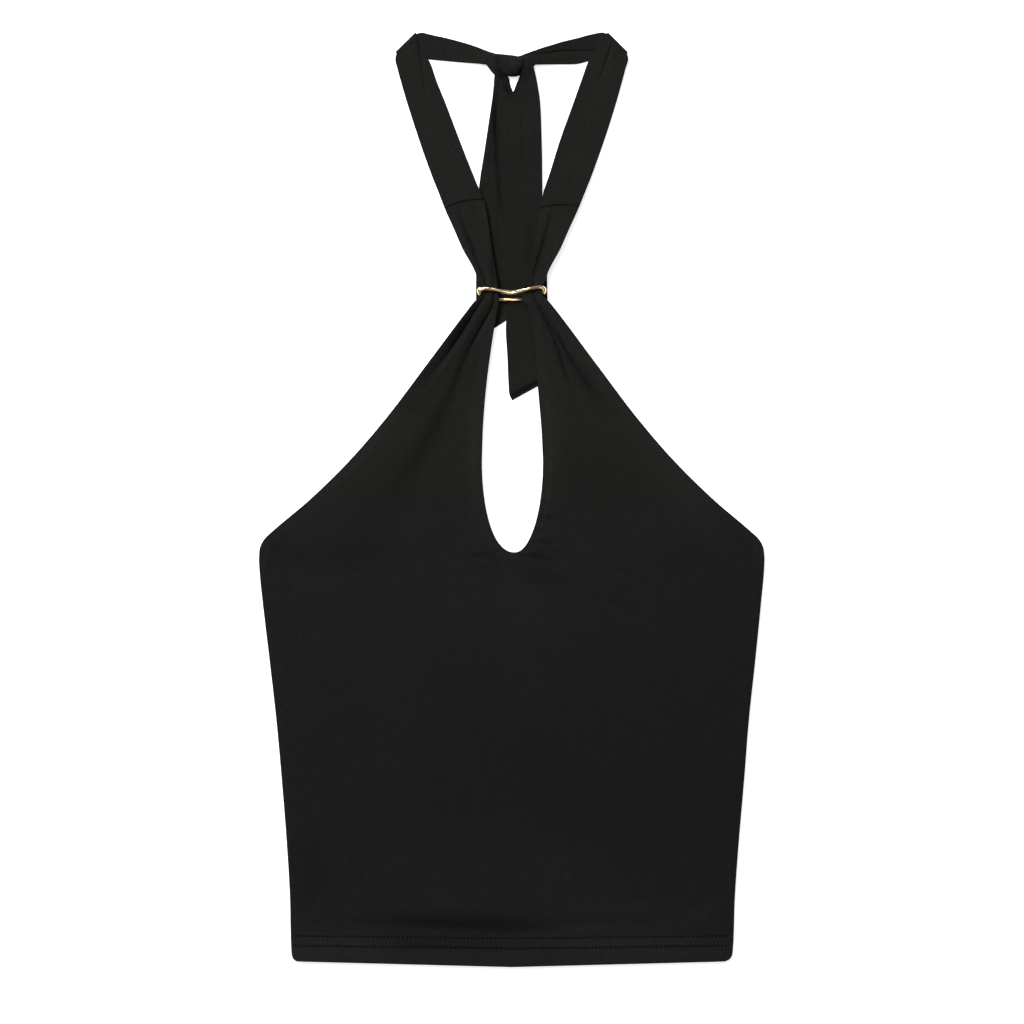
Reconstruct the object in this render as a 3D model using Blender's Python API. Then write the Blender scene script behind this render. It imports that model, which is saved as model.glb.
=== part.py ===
"""Halter-neck top in black jersey, laid flat, with a gold wire ring and a tied neck.

The front is one piece with a keyhole. Its two arms pass through the ring and are
joined to neck straps, which fold over and meet in a half knot with two tails.
Sizes in the tables are millimetres: x from the centre line, up from the hem.
"""
import math

import bmesh
import bpy
import numpy as np

MM = 0.001
LENGTH = 686.6
WALL = 1.1
GAP = 0.3
LYING = WALL / 2
SECOND_LAYER = LYING + WALL + GAP
HEM_DEPTH = 20.0
HEM_EXTRA = 0.4
HEM_RISE = 0.026
HEM_RISE_FADE = 110.0
PANEL_COLUMNS = 18

# Side seam and armhole: height, half width left, half width right
OUTER_EDGE = (
    (0.0, 158.0, 157.0),
    (2.0, 160.6, 160.4),
    (6.0, 161.8, 162.2),
    (49.0, 163.0, 164.0),
    (93.0, 165.5, 167.0),
    (137.5, 169.0, 170.8),
    (181.5, 173.0, 174.3),
    (225.5, 178.0, 179.0),
    (269.5, 183.2, 183.4),
    (291.5, 185.4, 185.4),
    (299.0, 185.8, 185.7),
    (306.5, 185.4, 185.2),
    (310.5, 184.2, 184.0),
    (314.5, 181.8, 181.6),
    (321.0, 175.0, 174.7),
    (343.0, 149.0, 149.0),
    (372.5, 119.0, 119.0),
    (402.0, 93.5, 93.5),
    (446.0, 60.0, 60.0),
    (483.0, 32.0, 32.0),
    (488.5, 27.6, 27.4),
    (491.5, 24.4, 24.4),
    (494.0, 22.1, 22.1),
    (496.5, 21.6, 21.6),
    (499.5, 21.4, 21.4),
    (502.0, 23.6, 23.6),
    (505.0, 25.7, 25.6),
    (508.7, 26.3, 26.2),
    (512.5, 27.3, 27.5),
    (527.0, 35.0, 35.0),
    (542.0, 42.0, 42.0),
    (556.5, 48.5, 48.5),
    (570.0, 54.0, 54.0),
)

# Keyhole: its lower end is half an ellipse, the rest follows the inner edges
KEYHOLE_END = 304.8
KEYHOLE_WIDEST = 372.5
KEYHOLE_HALF_WIDTH = 22.4
KEYHOLE_CENTRE = 0.5
KEYHOLE_POINT_SHIFT = 1.2
KEYHOLE_POINT_FADE = 6.0
KEYHOLE_ROUNDNESS = 2.1
INNER_EDGE = (
    (372.5, 21.9, 22.9),
    (394.5, 21.2, 22.2),
    (417.0, 19.6, 20.4),
    (431.5, 18.1, 19.2),
    (453.5, 15.2, 17.6),
    (468.5, 12.9, 15.6),
    (483.0, 10.3, 13.3),
    (490.5, 9.5, 12.0),
    (497.5, 9.9, 12.3),
    (505.0, 10.9, 13.4),
    (520.0, 13.0, 15.9),
    (539.0, 16.0, 17.7),
    (556.0, 18.6, 20.2),
    (566.0, 21.0, 22.0),
)

# Section lines of the front panel: height at the outer edge, height at the inner edge
BODY_SECTIONS = (
    (0.0, 0.0),
    (1.5, 1.5),
    (19.0, 19.0),
    (21.5, 21.5),
    (60.0, 62.0),
    (105.0, 110.0),
    (150.0, 162.0),
    (190.0, 212.0),
    (225.0, 252.0),
    (252.0, 284.0),
    (268.0, 298.5),
    (280.0, KEYHOLE_END),
)
ARM_SECTIONS = (
    (289.0, 305.4),
    (297.0, 307.2),
    (304.0, 310.3),
    (309.0, 314.5),
    (313.5, 320.0),
    (319.5, 328.0),
    (328.5, 338.0),
    (343.0, 351.0),
    (358.0, 364.0),
    (373.0, 377.0),
    (388.0, 390.5),
    (403.0, 404.0),
    (417.0, 417.5),
    (431.0, 431.0),
    (443.0, 443.0),
    (453.0, 453.0),
    (461.0, 461.0),
    (468.0, 468.0),
    (474.5, 474.5),
    (480.0, 480.0),
    (484.5, 484.5),
    (488.0, 488.0),
    (491.0, 491.0),
    (494.0, 494.0),
    (497.5, 497.5),
    (501.0, 501.0),
    (505.0, 505.0),
    (509.5, 509.5),
    (515.0, 515.0),
    (521.0, 521.0),
    (528.0, 528.0),
)
# From the last section line to the strap seam, as parts of the way
TO_SEAM = (0.33, 0.67, 1.0)

# Middle of the front wall above the table: height, at the edges, extra in the middle
FRONT_LIFT = (
    (0.0, 1.95, 0.0),
    (25.0, 1.95, 0.2),
    (150.0, 1.95, 0.9),
    (270.0, 1.95, 0.7),
    (306.0, 1.95, 0.3),
    (335.0, 0.95, 0.9),
    (400.0, 0.95, 1.3),
    (425.0, 2.2, 0.9),
    (450.0, 3.5, 0.4),
    (470.0, 4.8, 0.0),
    (481.0, 6.2, 0.0),
    (488.0, 7.3, 0.0),
    (496.0, 7.4, 0.0),
    (501.0, 7.0, 0.0),
    (510.0, 5.9, 0.0),
    (525.0, 4.95, 0.0),
    (536.0, 4.6, 0.0),
    (548.0, 4.15, 0.0),
    (566.0, 3.6, 0.0),
)

# Gathers through the ring, one table a fold: height, x, depth, half width
FRONT_FOLDS = {
    "left_outer": (
        (405.0, -82.0, 0.0, 8.0),
        (430.0, -64.0, 0.9, 6.0),
        (447.0, -50.0, 1.5, 4.5),
        (467.0, -36.0, 1.7, 3.2),
        (487.0, -23.5, 1.4, 1.9),
        (492.0, -20.0, 1.2, 1.7),
        (497.0, -18.5, 1.1, 1.6),
        (503.0, -19.3, 1.2, 1.6),
        (520.5, -26.5, 1.3, 1.9),
        (539.0, -34.0, 1.0, 2.2),
        (560.0, -39.0, 0.3, 2.6),
    ),
    "left_inner": (
        (310.0, -105.0, 0.0, 14.0),
        (340.0, -89.0, 0.5, 12.0),
        (400.0, -52.0, 1.2, 7.0),
        (453.0, -31.5, 1.5, 3.4),
        (467.0, -24.0, 1.5, 2.6),
        (490.5, -13.2, 1.2, 1.6),
        (497.0, -13.0, 1.1, 1.5),
        (503.0, -13.8, 1.0, 1.5),
        (520.0, -16.5, 0.7, 1.6),
        (534.0, -19.5, 0.0, 1.8),
    ),
    "right_inner": (
        (393.0, 58.0, 0.0, 8.0),
        (415.0, 50.0, 0.6, 6.0),
        (439.0, 40.0, 1.1, 4.5),
        (466.0, 31.0, 1.5, 2.8),
        (486.0, 20.0, 1.3, 1.8),
        (491.0, 17.0, 1.2, 1.6),
        (497.0, 16.0, 1.1, 1.5),
        (504.5, 16.2, 1.1, 1.6),
        (518.0, 19.2, 1.3, 1.8),
        (527.0, 22.2, 1.3, 2.0),
        (546.0, 28.0, 1.2, 2.3),
        (560.0, 32.5, 0.4, 2.6),
    ),
    "right_outer": (
        (350.0, 108.0, 0.0, 11.0),
        (378.0, 90.5, 0.5, 9.0),
        (400.0, 76.0, 0.9, 7.0),
        (433.0, 52.5, 1.2, 3.8),
        (466.0, 37.0, 1.0, 2.0),
        (488.0, 24.5, 0.6, 1.4),
        (498.0, 20.6, 0.0, 1.4),
    ),
}

# Back panel: its top edge dips from the underarm to the middle
BACK_DIP = 12.0
BACK_HEIGHTS = (
    0.0, 2.0, 6.0, 30.0, 62.0, 94.0, 126.0, 158.0, 190.0, 222.0, 250.0, 275.0, 292.0, 299.0, 304.0,
)
BACK_COLUMNS = 12

# Seams between arm and strap: outer x, outer height, inner x, inner height, arch
STRAP_SEAMS = {
    "left": (-49.3, 557.6, -20.6, 564.0, 1.7),
    "right": (49.6, 558.8, 20.8, 559.4, 0.8),
}
# How much of the seam's arch is left in the strap's first rows
ARCH_FADE = (1.0, 0.7, 0.35)
STRAP_COLUMNS = 8
FOLD_STEPS = 5

# Front run of each strap: outer x, outer height, inner x, inner height, middle height
STRAP_FRONT = {
    "left": (
        (-53.4, 568.0, -26.1, 576.5, 3.1),
        (-57.6, 578.5, -31.1, 589.0, 2.2),
        (-65.6, 600.5, -39.6, 611.0, 0.8),
        (-73.1, 623.0, -48.3, 634.0, 0.7),
        (-79.6, 645.0, -55.2, 651.0, 1.4),
        (-83.3, 659.5, -60.2, 665.0, SECOND_LAYER),
        (-85.1, 666.0, -64.4, 677.0, SECOND_LAYER),
    ),
    "right": (
        (53.4, 568.0, 23.3, 569.5, 3.2),
        (57.6, 578.5, 27.8, 583.0, 2.4),
        (65.6, 600.5, 35.2, 607.0, 0.8),
        (73.1, 623.0, 43.8, 631.0, 0.7),
        (79.6, 645.0, 50.6, 650.0, 1.4),
        (83.3, 659.5, 55.6, 664.0, SECOND_LAYER),
        (85.1, 666.0, 61.4, 676.5, SECOND_LAYER),
    ),
}
# Fold line over which a strap turns to the back: its two ends
STRAP_FOLD = {
    "left": (-84.9, 670.2, -69.6, 685.7),
    "right": (84.9, 669.9, 68.9, 685.7),
}
# Back run, towards the knot: lower x, height, upper x, height, middle height, wall
STRAP_BACK = {
    "left": (
        (-74.0, 668.3, -60.0, 686.1, LYING, 1.1),
        (-61.0, 666.0, -48.0, 683.2, LYING, 1.1),
        (-47.0, 665.6, -38.5, 680.4, 0.7, 1.3),
        (-34.0, 665.2, -30.0, 677.8, 1.2, 1.6),
        (-25.0, 664.2, -23.0, 675.2, 2.0, 2.0),
        (-18.2, 662.7, -17.0, 672.7, 2.8, 2.4),
    ),
    "right": (
        (74.0, 667.8, 59.5, 686.1, LYING, 1.1),
        (61.0, 664.8, 47.5, 683.2, LYING, 1.1),
        (46.0, 663.8, 38.0, 680.4, 0.7, 1.3),
        (33.0, 663.3, 29.5, 677.8, 1.2, 1.6),
        (24.5, 663.1, 22.5, 675.6, 2.0, 2.0),
        (17.6, 662.8, 16.6, 673.4, 2.8, 2.4),
    ),
}

# Knot, left to right: lower x, height, upper x, height, middle height, half depth
KNOT_SECTIONS = (
    (-17.9, 662.9, -16.7, 672.4, 2.9, 1.5),
    (-15.0, 659.3, -13.4, 671.3, 3.1, 2.5),
    (-10.8, 655.1, -9.6, 670.5, 3.3, 3.1),
    (-5.0, 654.2, -4.8, 670.0, 3.5, 3.4),
    (0.5, 654.0, 0.3, 670.1, 3.6, 3.5),
    (6.0, 654.3, 5.6, 670.6, 3.5, 3.4),
    (11.0, 656.8, 10.6, 671.6, 3.3, 3.0),
    (14.6, 659.9, 14.0, 672.6, 3.1, 2.4),
    (17.3, 662.9, 16.3, 673.1, 2.9, 1.5),
)
KNOT_SIDES = 22
KNOT_STEPS = 3
# The band wound over the front of the knot: from and to, half width, height
KNOT_BAND = (14.0, 669.0, -13.5, 658.5, 4.2, 1.8)

# Tails, from the knot down: left x, height, right x, height, middle height, wall
TAIL_LEFT = (
    (-12.9, 654.3, -2.6, 653.1, 0.9, 1.5),
    (-13.3, 649.0, -1.8, 649.0, 0.75, 1.3),
    (-13.8, 643.0, 1.0, 643.0, LYING, 1.1),
    (-15.4, 631.0, 4.5, 631.0, LYING, 1.1),
    (-20.0, 600.5, 7.5, 600.5, LYING, 1.1),
    (-24.0, 573.5, 6.5, 573.5, LYING, 1.1),
    (-26.2, 535.0, 4.5, 535.0, LYING, 1.1),
    (-26.3, 495.0, 4.0, 500.0, LYING, 1.1),
    (-25.6, 475.0, 4.0, 488.0, LYING, 1.1),
    (-23.5, 462.3, 3.6, 480.2, LYING, 1.1),
)
TAIL_RIGHT = (
    (6.2, 653.3, 16.9, 660.0, 1.0, 1.5),
    (3.8, 648.6, 18.5, 651.5, 1.5, 1.3),
    (1.0, 643.2, 19.6, 645.0, SECOND_LAYER, 1.1),
    (-6.4, 638.8, 20.6, 638.5, SECOND_LAYER, 1.1),
    (-12.2, 632.0, 21.3, 630.0, SECOND_LAYER, 1.1),
    (-14.2, 614.0, 21.9, 613.0, SECOND_LAYER, 1.1),
    (-13.9, 592.0, 22.4, 592.0, SECOND_LAYER, 1.1),
    (-10.8, 567.5, 22.6, 567.5, SECOND_LAYER, 1.1),
    (-8.6, 542.0, 24.6, 542.0, SECOND_LAYER, 1.1),
    (-5.2, 518.0, 25.8, 516.0, SECOND_LAYER, 1.1),
    (-3.6, 486.0, 26.4, 488.0, SECOND_LAYER, 1.1),
    (-3.1, 468.0, 27.4, 472.0, SECOND_LAYER, 1.1),
    (-2.3, 449.0, 28.2, 456.0, 1.0, 1.1),
    (-2.0, 432.0, 28.0, 443.0, LYING, 1.1),
    (-1.4, 422.0, 27.6, 435.5, LYING, 1.1),
    (0.5, 417.3, 26.6, 431.9, LYING, 1.1),
)
TAIL_COLUMNS = 8
ROWS_PER_SECTION = 2

# Ring, once round from the middle of the front bar: x, height up the garment, height
# above the table, wire thickness
RING_PATH = (
    (-2.0, 495.4, 9.9, 3.3),
    (4.0, 495.9, 9.9, 3.1),
    (9.0, 497.1, 9.8, 2.8),
    (13.5, 498.4, 9.6, 2.3),
    (19.0, 499.5, 9.5, 2.0),
    (22.4, 499.4, 9.4, 3.0),
    (24.0, 497.7, 8.2, 3.3),
    (24.5, 495.4, 6.3, 2.7),
    (23.3, 493.1, 4.6, 2.4),
    (20.0, 491.2, 4.15, 2.4),
    (13.0, 490.7, 4.05, 2.4),
    (0.0, 490.7, 4.05, 2.4),
    (-13.0, 490.7, 4.05, 2.4),
    (-20.0, 491.0, 4.15, 2.4),
    (-23.4, 492.7, 4.6, 2.4),
    (-24.6, 494.8, 6.3, 2.7),
    (-24.2, 496.6, 8.2, 3.3),
    (-22.6, 498.0, 9.4, 3.0),
    (-19.6, 498.2, 9.5, 2.0),
    (-14.5, 497.5, 9.7, 2.3),
    (-8.6, 496.2, 9.8, 3.0),
)
RING_STEPS = 60
RING_SIDES = 10
RING_FINE_STEPS = 20

SHARP_EDGE = math.radians(50)
JERSEY = (0.0137, 0.0137, 0.0128, 1.0)
GOLD = (0.83, 0.60, 0.27, 1.0)


def column(table, index):
    return [row[index] for row in table]


def smooth(heights, values, at):
    """Smooth curve through a few values, with no overshoot between them."""
    x = np.asarray(heights, float)
    y = np.asarray(values, float)
    at = np.clip(np.asarray(at, float), x[0], x[-1])
    step = np.diff(x)
    slope = np.diff(y) / step
    tangent = np.zeros_like(y)
    tangent[0] = slope[0]
    tangent[-1] = slope[-1]
    for i in range(1, len(x) - 1):
        if slope[i - 1] * slope[i] > 0:
            before = 2 * step[i] + step[i - 1]
            after = step[i] + 2 * step[i - 1]
            tangent[i] = (before + after) / (before / slope[i - 1] + after / slope[i])
    i = np.clip(np.searchsorted(x, at, side="right") - 1, 0, len(x) - 2)
    t = (at - x[i]) / step[i]
    return (
        (2 * t**3 - 3 * t**2 + 1) * y[i]
        + (t**3 - 2 * t**2 + t) * step[i] * tangent[i]
        + (3 * t**2 - 2 * t**3) * y[i + 1]
        + (t**3 - t**2) * step[i] * tangent[i + 1]
    )


def from_table(table, index, at):
    return smooth(column(table, 0), column(table, index), at)


def outer_edge(side, up):
    return side * from_table(OUTER_EDGE, 1 if side < 0 else 2, up)


def inner_edge(side, up):
    """x of the centre line below the keyhole, and of the front's inner edge above."""
    up = np.asarray(up, float)
    above_end = np.clip(up - KEYHOLE_END, 0.0, None)
    centre = KEYHOLE_CENTRE + KEYHOLE_POINT_SHIFT * np.exp(-above_end / KEYHOLE_POINT_FADE)
    drop = np.clip((KEYHOLE_WIDEST - up) / (KEYHOLE_WIDEST - KEYHOLE_END), 0.0, 1.0)
    half = KEYHOLE_HALF_WIDTH * (1 - drop**KEYHOLE_ROUNDNESS) ** (1 / KEYHOLE_ROUNDNESS)
    rounded = centre + side * half
    straight = side * from_table(INNER_EDGE, 1 if side < 0 else 2, up)
    return np.where(up < KEYHOLE_WIDEST, rounded, straight)


def front_height(x, up):
    """Middle of the front wall above the table, folds included."""
    reach = np.where(x < 0, -outer_edge(-1, up), outer_edge(1, up))
    middle = 1 - np.clip(np.abs(x) / reach, 0, 1) ** 4
    z = from_table(FRONT_LIFT, 1, up) + from_table(FRONT_LIFT, 2, up) * middle
    for table in FRONT_FOLDS.values():
        depth = from_table(table, 2, up)
        inside = (up > table[0][0]) & (up < table[-1][0])
        away = (x - from_table(table, 1, up)) / from_table(table, 3, up)
        z = z - np.where(inside, depth * np.exp(-away**2), 0.0)
    return z


def front_half(side):
    """Grid of points of one half of the front, hem to strap seam, outer to inner."""
    across = np.linspace(0.0, 1.0, PANEL_COLUMNS + 1)
    rows = []
    for outer_up, inner_up in BODY_SECTIONS + ARM_SECTIONS:
        start = (outer_edge(side, outer_up), outer_up)
        end = (inner_edge(side, inner_up), inner_up)
        step_x = end[0] - start[0]
        step_up = end[1] - start[1]
        rows.append([(start[0] + step_x * u, start[1] + step_up * u) for u in across])
    outer_x, outer_up, inner_x, inner_up, arch = STRAP_SEAMS["left" if side < 0 else "right"]
    last = ARM_SECTIONS[-1][0]
    for t in TO_SEAM:
        row = []
        for u in across:
            seam = outer_up + (inner_up - outer_up) * u + arch * math.sin(math.pi * u) - GAP / 2
            up = last + (seam - last) * t
            begin = outer_edge(side, last + (outer_up - last) * t)
            finish = inner_edge(side, last + (inner_up - last) * t)
            row.append((begin + (finish - begin) * u, up))
        rows.append(row)
    grid = np.array(rows, float)
    x = grid[:, :, 0]
    up = grid[:, :, 1]
    z = front_height(x, up)
    bend = HEM_RISE * np.abs(x) * np.clip(1 - up / HEM_RISE_FADE, 0, 1)
    return np.stack([x, up + bend, z], axis=2)


def place(points):
    """Millimetres in the garment's own measure to metres about its middle."""
    points = np.asarray(points, float)
    return (points - (0.0, LENGTH / 2, 0.0)) * MM


def grid_faces(rows, columns, first=0, flip=False):
    faces = []
    for r in range(rows - 1):
        for c in range(columns - 1):
            a = first + r * columns + c
            quad = (a, a + 1, a + 1 + columns, a + columns)
            faces.append(quad[::-1] if flip else quad)
    return faces


def weld(points, faces):
    """Joins points that lie in one place."""
    keys = {}
    kept = []
    new_index = []
    for point in points:
        key = tuple(np.round(point, 4))
        if key not in keys:
            keys[key] = len(kept)
            kept.append(point)
        new_index.append(keys[key])
    joined = []
    for face in faces:
        corners = [new_index[i] for i in face]
        corners = [c for i, c in enumerate(corners) if c != corners[i - 1]]
        if len(corners) > 2:
            joined.append(tuple(corners))
    return np.array(kept), joined, new_index


def face_normals(points, faces):
    """Unit normal at each point, from the faces round it."""
    normals = np.zeros_like(points)
    for face in faces:
        corner = points[list(face)]
        total = np.zeros(3)
        for i in range(len(face)):
            total += np.cross(corner[i - 1], corner[i])
        for i in face:
            normals[i] += total
    length = np.linalg.norm(normals, axis=1, keepdims=True)
    return normals / np.maximum(length, 1e-9)


def make_object(name, points, faces, material):
    mesh = bpy.data.meshes.new(name)
    mesh.from_pydata([tuple(p) for p in place(points)], [], faces)
    work = bmesh.new()
    work.from_mesh(mesh)
    bmesh.ops.recalc_face_normals(work, faces=work.faces)
    work.to_mesh(mesh)
    work.free()
    mesh.shade_smooth()
    mesh.set_sharp_from_angle(angle=SHARP_EDGE)
    mesh.materials.append(material)
    made = bpy.data.objects.new(name, mesh)
    bpy.context.collection.objects.link(made)
    return made


def cloth(name, points, faces, thickness, material):
    """Closed wall about a middle surface, never below the table."""
    points, faces, new_index = weld(points, faces)
    half = np.zeros(len(points))
    half[new_index] = np.asarray(thickness, float) / 2
    offset = face_normals(points, faces) * half[:, None]
    upper = points + offset
    lower = points - offset
    upper[:, 2] = np.maximum(upper[:, 2], 0.0)
    lower[:, 2] = np.maximum(lower[:, 2], 0.0)
    count = len(points)
    used = {}
    for face in faces:
        for i in range(len(face)):
            used[(face[i - 1], face[i])] = True
    shell = list(faces)
    shell += [tuple(i + count for i in face[::-1]) for face in faces]
    shell += [(b, a, a + count, b + count) for a, b in used if (b, a) not in used]
    return make_object(name, np.vstack([upper, lower]), shell, material)


def front_panel(material):
    left = front_half(-1)
    right = front_half(1)
    rows, columns, _ = left.shape
    shared = len(BODY_SECTIONS)
    right[:shared, -1] = left[:shared, -1] = (left[:shared, -1] + right[:shared, -1]) / 2
    points = np.vstack([left.reshape(-1, 3), right.reshape(-1, 3)])
    faces = grid_faces(rows, columns) + grid_faces(rows, columns, rows * columns, True)
    in_hem = points[:, 1] < HEM_DEPTH + HEM_RISE * np.abs(points[:, 0])
    cloth("front_panel", points, faces, np.where(in_hem, WALL + HEM_EXTRA, WALL), material)


def back_panel(material):
    across = np.linspace(-1.0, 1.0, BACK_COLUMNS + 1)
    points = []
    for up in BACK_HEIGHTS:
        for s in across:
            x = abs(s) * outer_edge(-1 if s < 0 else 1, up)
            rise = HEM_RISE * abs(x) * max(0.0, 1 - up / HEM_RISE_FADE)
            dip = BACK_DIP * (up / BACK_HEIGHTS[-1]) ** 3 * math.cos(s * math.pi / 2)
            points.append((x, up + rise - dip, LYING))
    faces = grid_faces(len(BACK_HEIGHTS), BACK_COLUMNS + 1)
    cloth("back_panel", np.array(points), faces, np.full(len(points), WALL), material)


def between_sections(sections, per_section):
    """Rows of numbers read from a smooth curve through each column."""
    knots = np.arange(len(sections))
    at = np.linspace(0, len(sections) - 1, (len(sections) - 1) * per_section + 1)
    table = np.array(sections, float)
    return np.stack([smooth(knots, table[:, i], at) for i in range(table.shape[1])], axis=1)


def ribbon(name, rows, columns, material, arch=None):
    """Cloth strip. Each row: x and height of both edges, middle height, wall."""
    across = np.linspace(0.0, 1.0, columns + 1)
    points = []
    thickness = []
    for index, row in enumerate(rows):
        start = np.array((row[0], row[1], row[4]))
        end = np.array((row[2], row[3], row[4]))
        for u in across:
            point = start + (end - start) * u
            if arch and index < len(arch):
                point = point + (0.0, arch[index] * math.sin(math.pi * u), 0.0)
            points.append(point)
            thickness.append(row[5])
    faces = grid_faces(len(rows), columns + 1)
    return cloth(name, np.array(points), faces, thickness, material)


def neck_strap(side, material):
    """Strap from its seam up, over the fold line and back to the knot."""
    outer_x, outer_up, inner_x, inner_up, arch = STRAP_SEAMS[side]
    seam_height = FRONT_LIFT[-1][1]
    seam = (outer_x, outer_up + GAP / 2, inner_x, inner_up + GAP / 2, seam_height)
    fold = STRAP_FOLD[side]
    front = (seam,) + STRAP_FRONT[side] + (fold + (SECOND_LAYER,),)
    rows = [tuple(row) + (WALL,) for row in between_sections(front, ROWS_PER_SECTION)]
    along = np.array((fold[2] - fold[0], fold[3] - fold[1]))
    outward = np.array((-along[1], along[0])) / np.linalg.norm(along)
    if outward[1] < 0:
        outward = -outward
    radius = (SECOND_LAYER - LYING) / 2
    centre = (SECOND_LAYER + LYING) / 2
    for angle in np.linspace(math.pi / 2, -math.pi / 2, FOLD_STEPS + 2)[1:-1]:
        dx, dy = outward * radius * math.cos(angle)
        height = centre + radius * math.sin(angle)
        rows.append((fold[0] + dx, fold[1] + dy, fold[2] + dx, fold[3] + dy, height, WALL))
    back = (fold + (LYING, WALL),) + STRAP_BACK[side]
    rows += [tuple(row) for row in between_sections(back, ROWS_PER_SECTION)]
    arches = [arch * left for left in ARCH_FADE]
    ribbon("strap_" + side, rows, STRAP_COLUMNS, material, arches)


def knot(material):
    """Tube of flattened sections, with the front band raised across it."""
    rows = between_sections(KNOT_SECTIONS, KNOT_STEPS)
    from_x, from_up, to_x, to_up, half_width, raised = KNOT_BAND
    run = np.array((to_x - from_x, to_up - from_up))
    run = run / np.linalg.norm(run)
    points = []
    for row in rows:
        low = np.array((row[0], row[1], row[4]))
        high = np.array((row[2], row[3], row[4]))
        for k in range(KNOT_SIDES):
            angle = 2 * math.pi * k / KNOT_SIDES
            point = (low + high) / 2 + (high - low) / 2 * math.cos(angle)
            point[2] += row[5] * math.sin(angle)
            away = (point[0] - from_x) * -run[1] + (point[1] - from_up) * run[0]
            if point[2] > row[4] and abs(point[0]) < from_x:
                point[2] += raised * math.exp(-((away / half_width) ** 4)) - raised / 2
            point[2] = max(point[2], 0.0)
            points.append(point)
    faces = []
    for r in range(len(rows) - 1):
        for k in range(KNOT_SIDES):
            a = r * KNOT_SIDES + k
            b = r * KNOT_SIDES + (k + 1) % KNOT_SIDES
            faces.append((a, b, b + KNOT_SIDES, a + KNOT_SIDES))
    faces.append(tuple(range(KNOT_SIDES)))
    faces.append(tuple(range(len(points) - KNOT_SIDES, len(points))))
    make_object("knot", np.array(points), faces, material)


def tail(name, sections, material):
    ribbon(name, between_sections(sections, ROWS_PER_SECTION), TAIL_COLUMNS, material)


def loop_points(points, count):
    """Evenly stepped rows on a closed smooth curve through the given ones."""
    knots = np.array(points, float)
    total = len(knots)
    fine = []
    for i in range(total):
        p0, p1, p2, p3 = (knots[(i + k) % total] for k in (-1, 0, 1, 2))
        for t in np.linspace(0, 1, RING_FINE_STEPS, endpoint=False):
            squared = (2 * p0 - 5 * p1 + 4 * p2 - p3) * t**2
            cubed = (3 * p1 - p0 - 3 * p2 + p3) * t**3
            fine.append((2 * p1 + (p2 - p0) * t + squared + cubed) / 2)
    fine = np.array(fine + [fine[0]])
    stretch = np.linalg.norm(np.diff(fine[:, :3], axis=0), axis=1)
    length = np.concatenate([[0], np.cumsum(stretch)])
    at = np.linspace(0, length[-1], count, endpoint=False)
    return np.stack([np.interp(at, length, column) for column in fine.T], axis=1)


def ring(material):
    """Round wire in a closed loop: wavy bar in front, straight bar behind."""
    rows = loop_points(RING_PATH, RING_STEPS)
    path = rows[:, :3]
    middle = path.mean(axis=0)
    points = []
    for i, point in enumerate(path):
        forward = path[(i + 1) % RING_STEPS] - path[i - 1]
        forward /= np.linalg.norm(forward)
        outward = point - middle
        outward -= forward * outward.dot(forward)
        outward /= np.linalg.norm(outward)
        aside = np.cross(forward, outward)
        for k in range(RING_SIDES):
            angle = 2 * math.pi * k / RING_SIDES
            spoke = outward * math.cos(angle) + aside * math.sin(angle)
            points.append(point + spoke * rows[i, 3] / 2)
    faces = []
    for i in range(RING_STEPS):
        here = i * RING_SIDES
        there = (i + 1) % RING_STEPS * RING_SIDES
        for k in range(RING_SIDES):
            m = (k + 1) % RING_SIDES
            faces.append((here + k, here + m, there + m, there + k))
    make_object("ring", np.array(points), faces, material)


def finish(name, colour, roughness, metallic):
    material = bpy.data.materials.new(name)
    material.use_nodes = True
    shader = material.node_tree.nodes["Principled BSDF"]
    shader.inputs["Base Color"].default_value = colour
    shader.inputs["Roughness"].default_value = roughness
    shader.inputs["Metallic"].default_value = metallic
    return material


def jersey(piece):
    return finish("jersey_" + piece, JERSEY, 0.9, 0.0)


def main():
    for old in list(bpy.data.objects):
        bpy.data.objects.remove(old)
    back_panel(jersey("back"))
    front_panel(jersey("front"))
    neck_strap("left", jersey("strap_left"))
    neck_strap("right", jersey("strap_right"))
    knot(jersey("knot"))
    tail("tail_left", TAIL_LEFT, jersey("tail_left"))
    tail("tail_right", TAIL_RIGHT, jersey("tail_right"))
    ring(finish("gold_wire", GOLD, 0.18, 1.0))


main()
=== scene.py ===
"""Looks of the halter-neck top: black jersey laid flat, gold wire ring, tied neck.

Sizes in the tables are millimetres: x from the centre line, up from the hem, z above
the table. The tables of the main form repeat the part's own, and the creases are finer.
"""
import math

import bmesh
import bpy
import numpy as np
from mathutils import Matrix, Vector, kdtree, noise


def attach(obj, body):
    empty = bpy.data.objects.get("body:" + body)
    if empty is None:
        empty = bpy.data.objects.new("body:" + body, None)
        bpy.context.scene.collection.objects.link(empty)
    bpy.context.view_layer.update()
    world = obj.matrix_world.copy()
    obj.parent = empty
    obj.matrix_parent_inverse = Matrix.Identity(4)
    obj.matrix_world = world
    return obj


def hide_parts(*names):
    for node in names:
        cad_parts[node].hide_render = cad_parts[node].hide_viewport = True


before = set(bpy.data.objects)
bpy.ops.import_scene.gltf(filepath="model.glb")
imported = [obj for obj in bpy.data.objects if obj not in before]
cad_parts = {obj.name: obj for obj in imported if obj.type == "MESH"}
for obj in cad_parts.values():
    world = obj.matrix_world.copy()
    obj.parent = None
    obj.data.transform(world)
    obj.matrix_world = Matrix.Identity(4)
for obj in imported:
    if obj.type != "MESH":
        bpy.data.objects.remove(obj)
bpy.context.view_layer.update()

BODY = "root"
MM = 0.001

# Main form
LENGTH = 686.6
WALL = 1.1
HALF_WALL = WALL / 2
GAP = 0.3
LYING = HALF_WALL
UPPER = LYING + WALL + GAP
HEM_RISE = 0.026
HEM_RISE_FADE = 110.0

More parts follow.
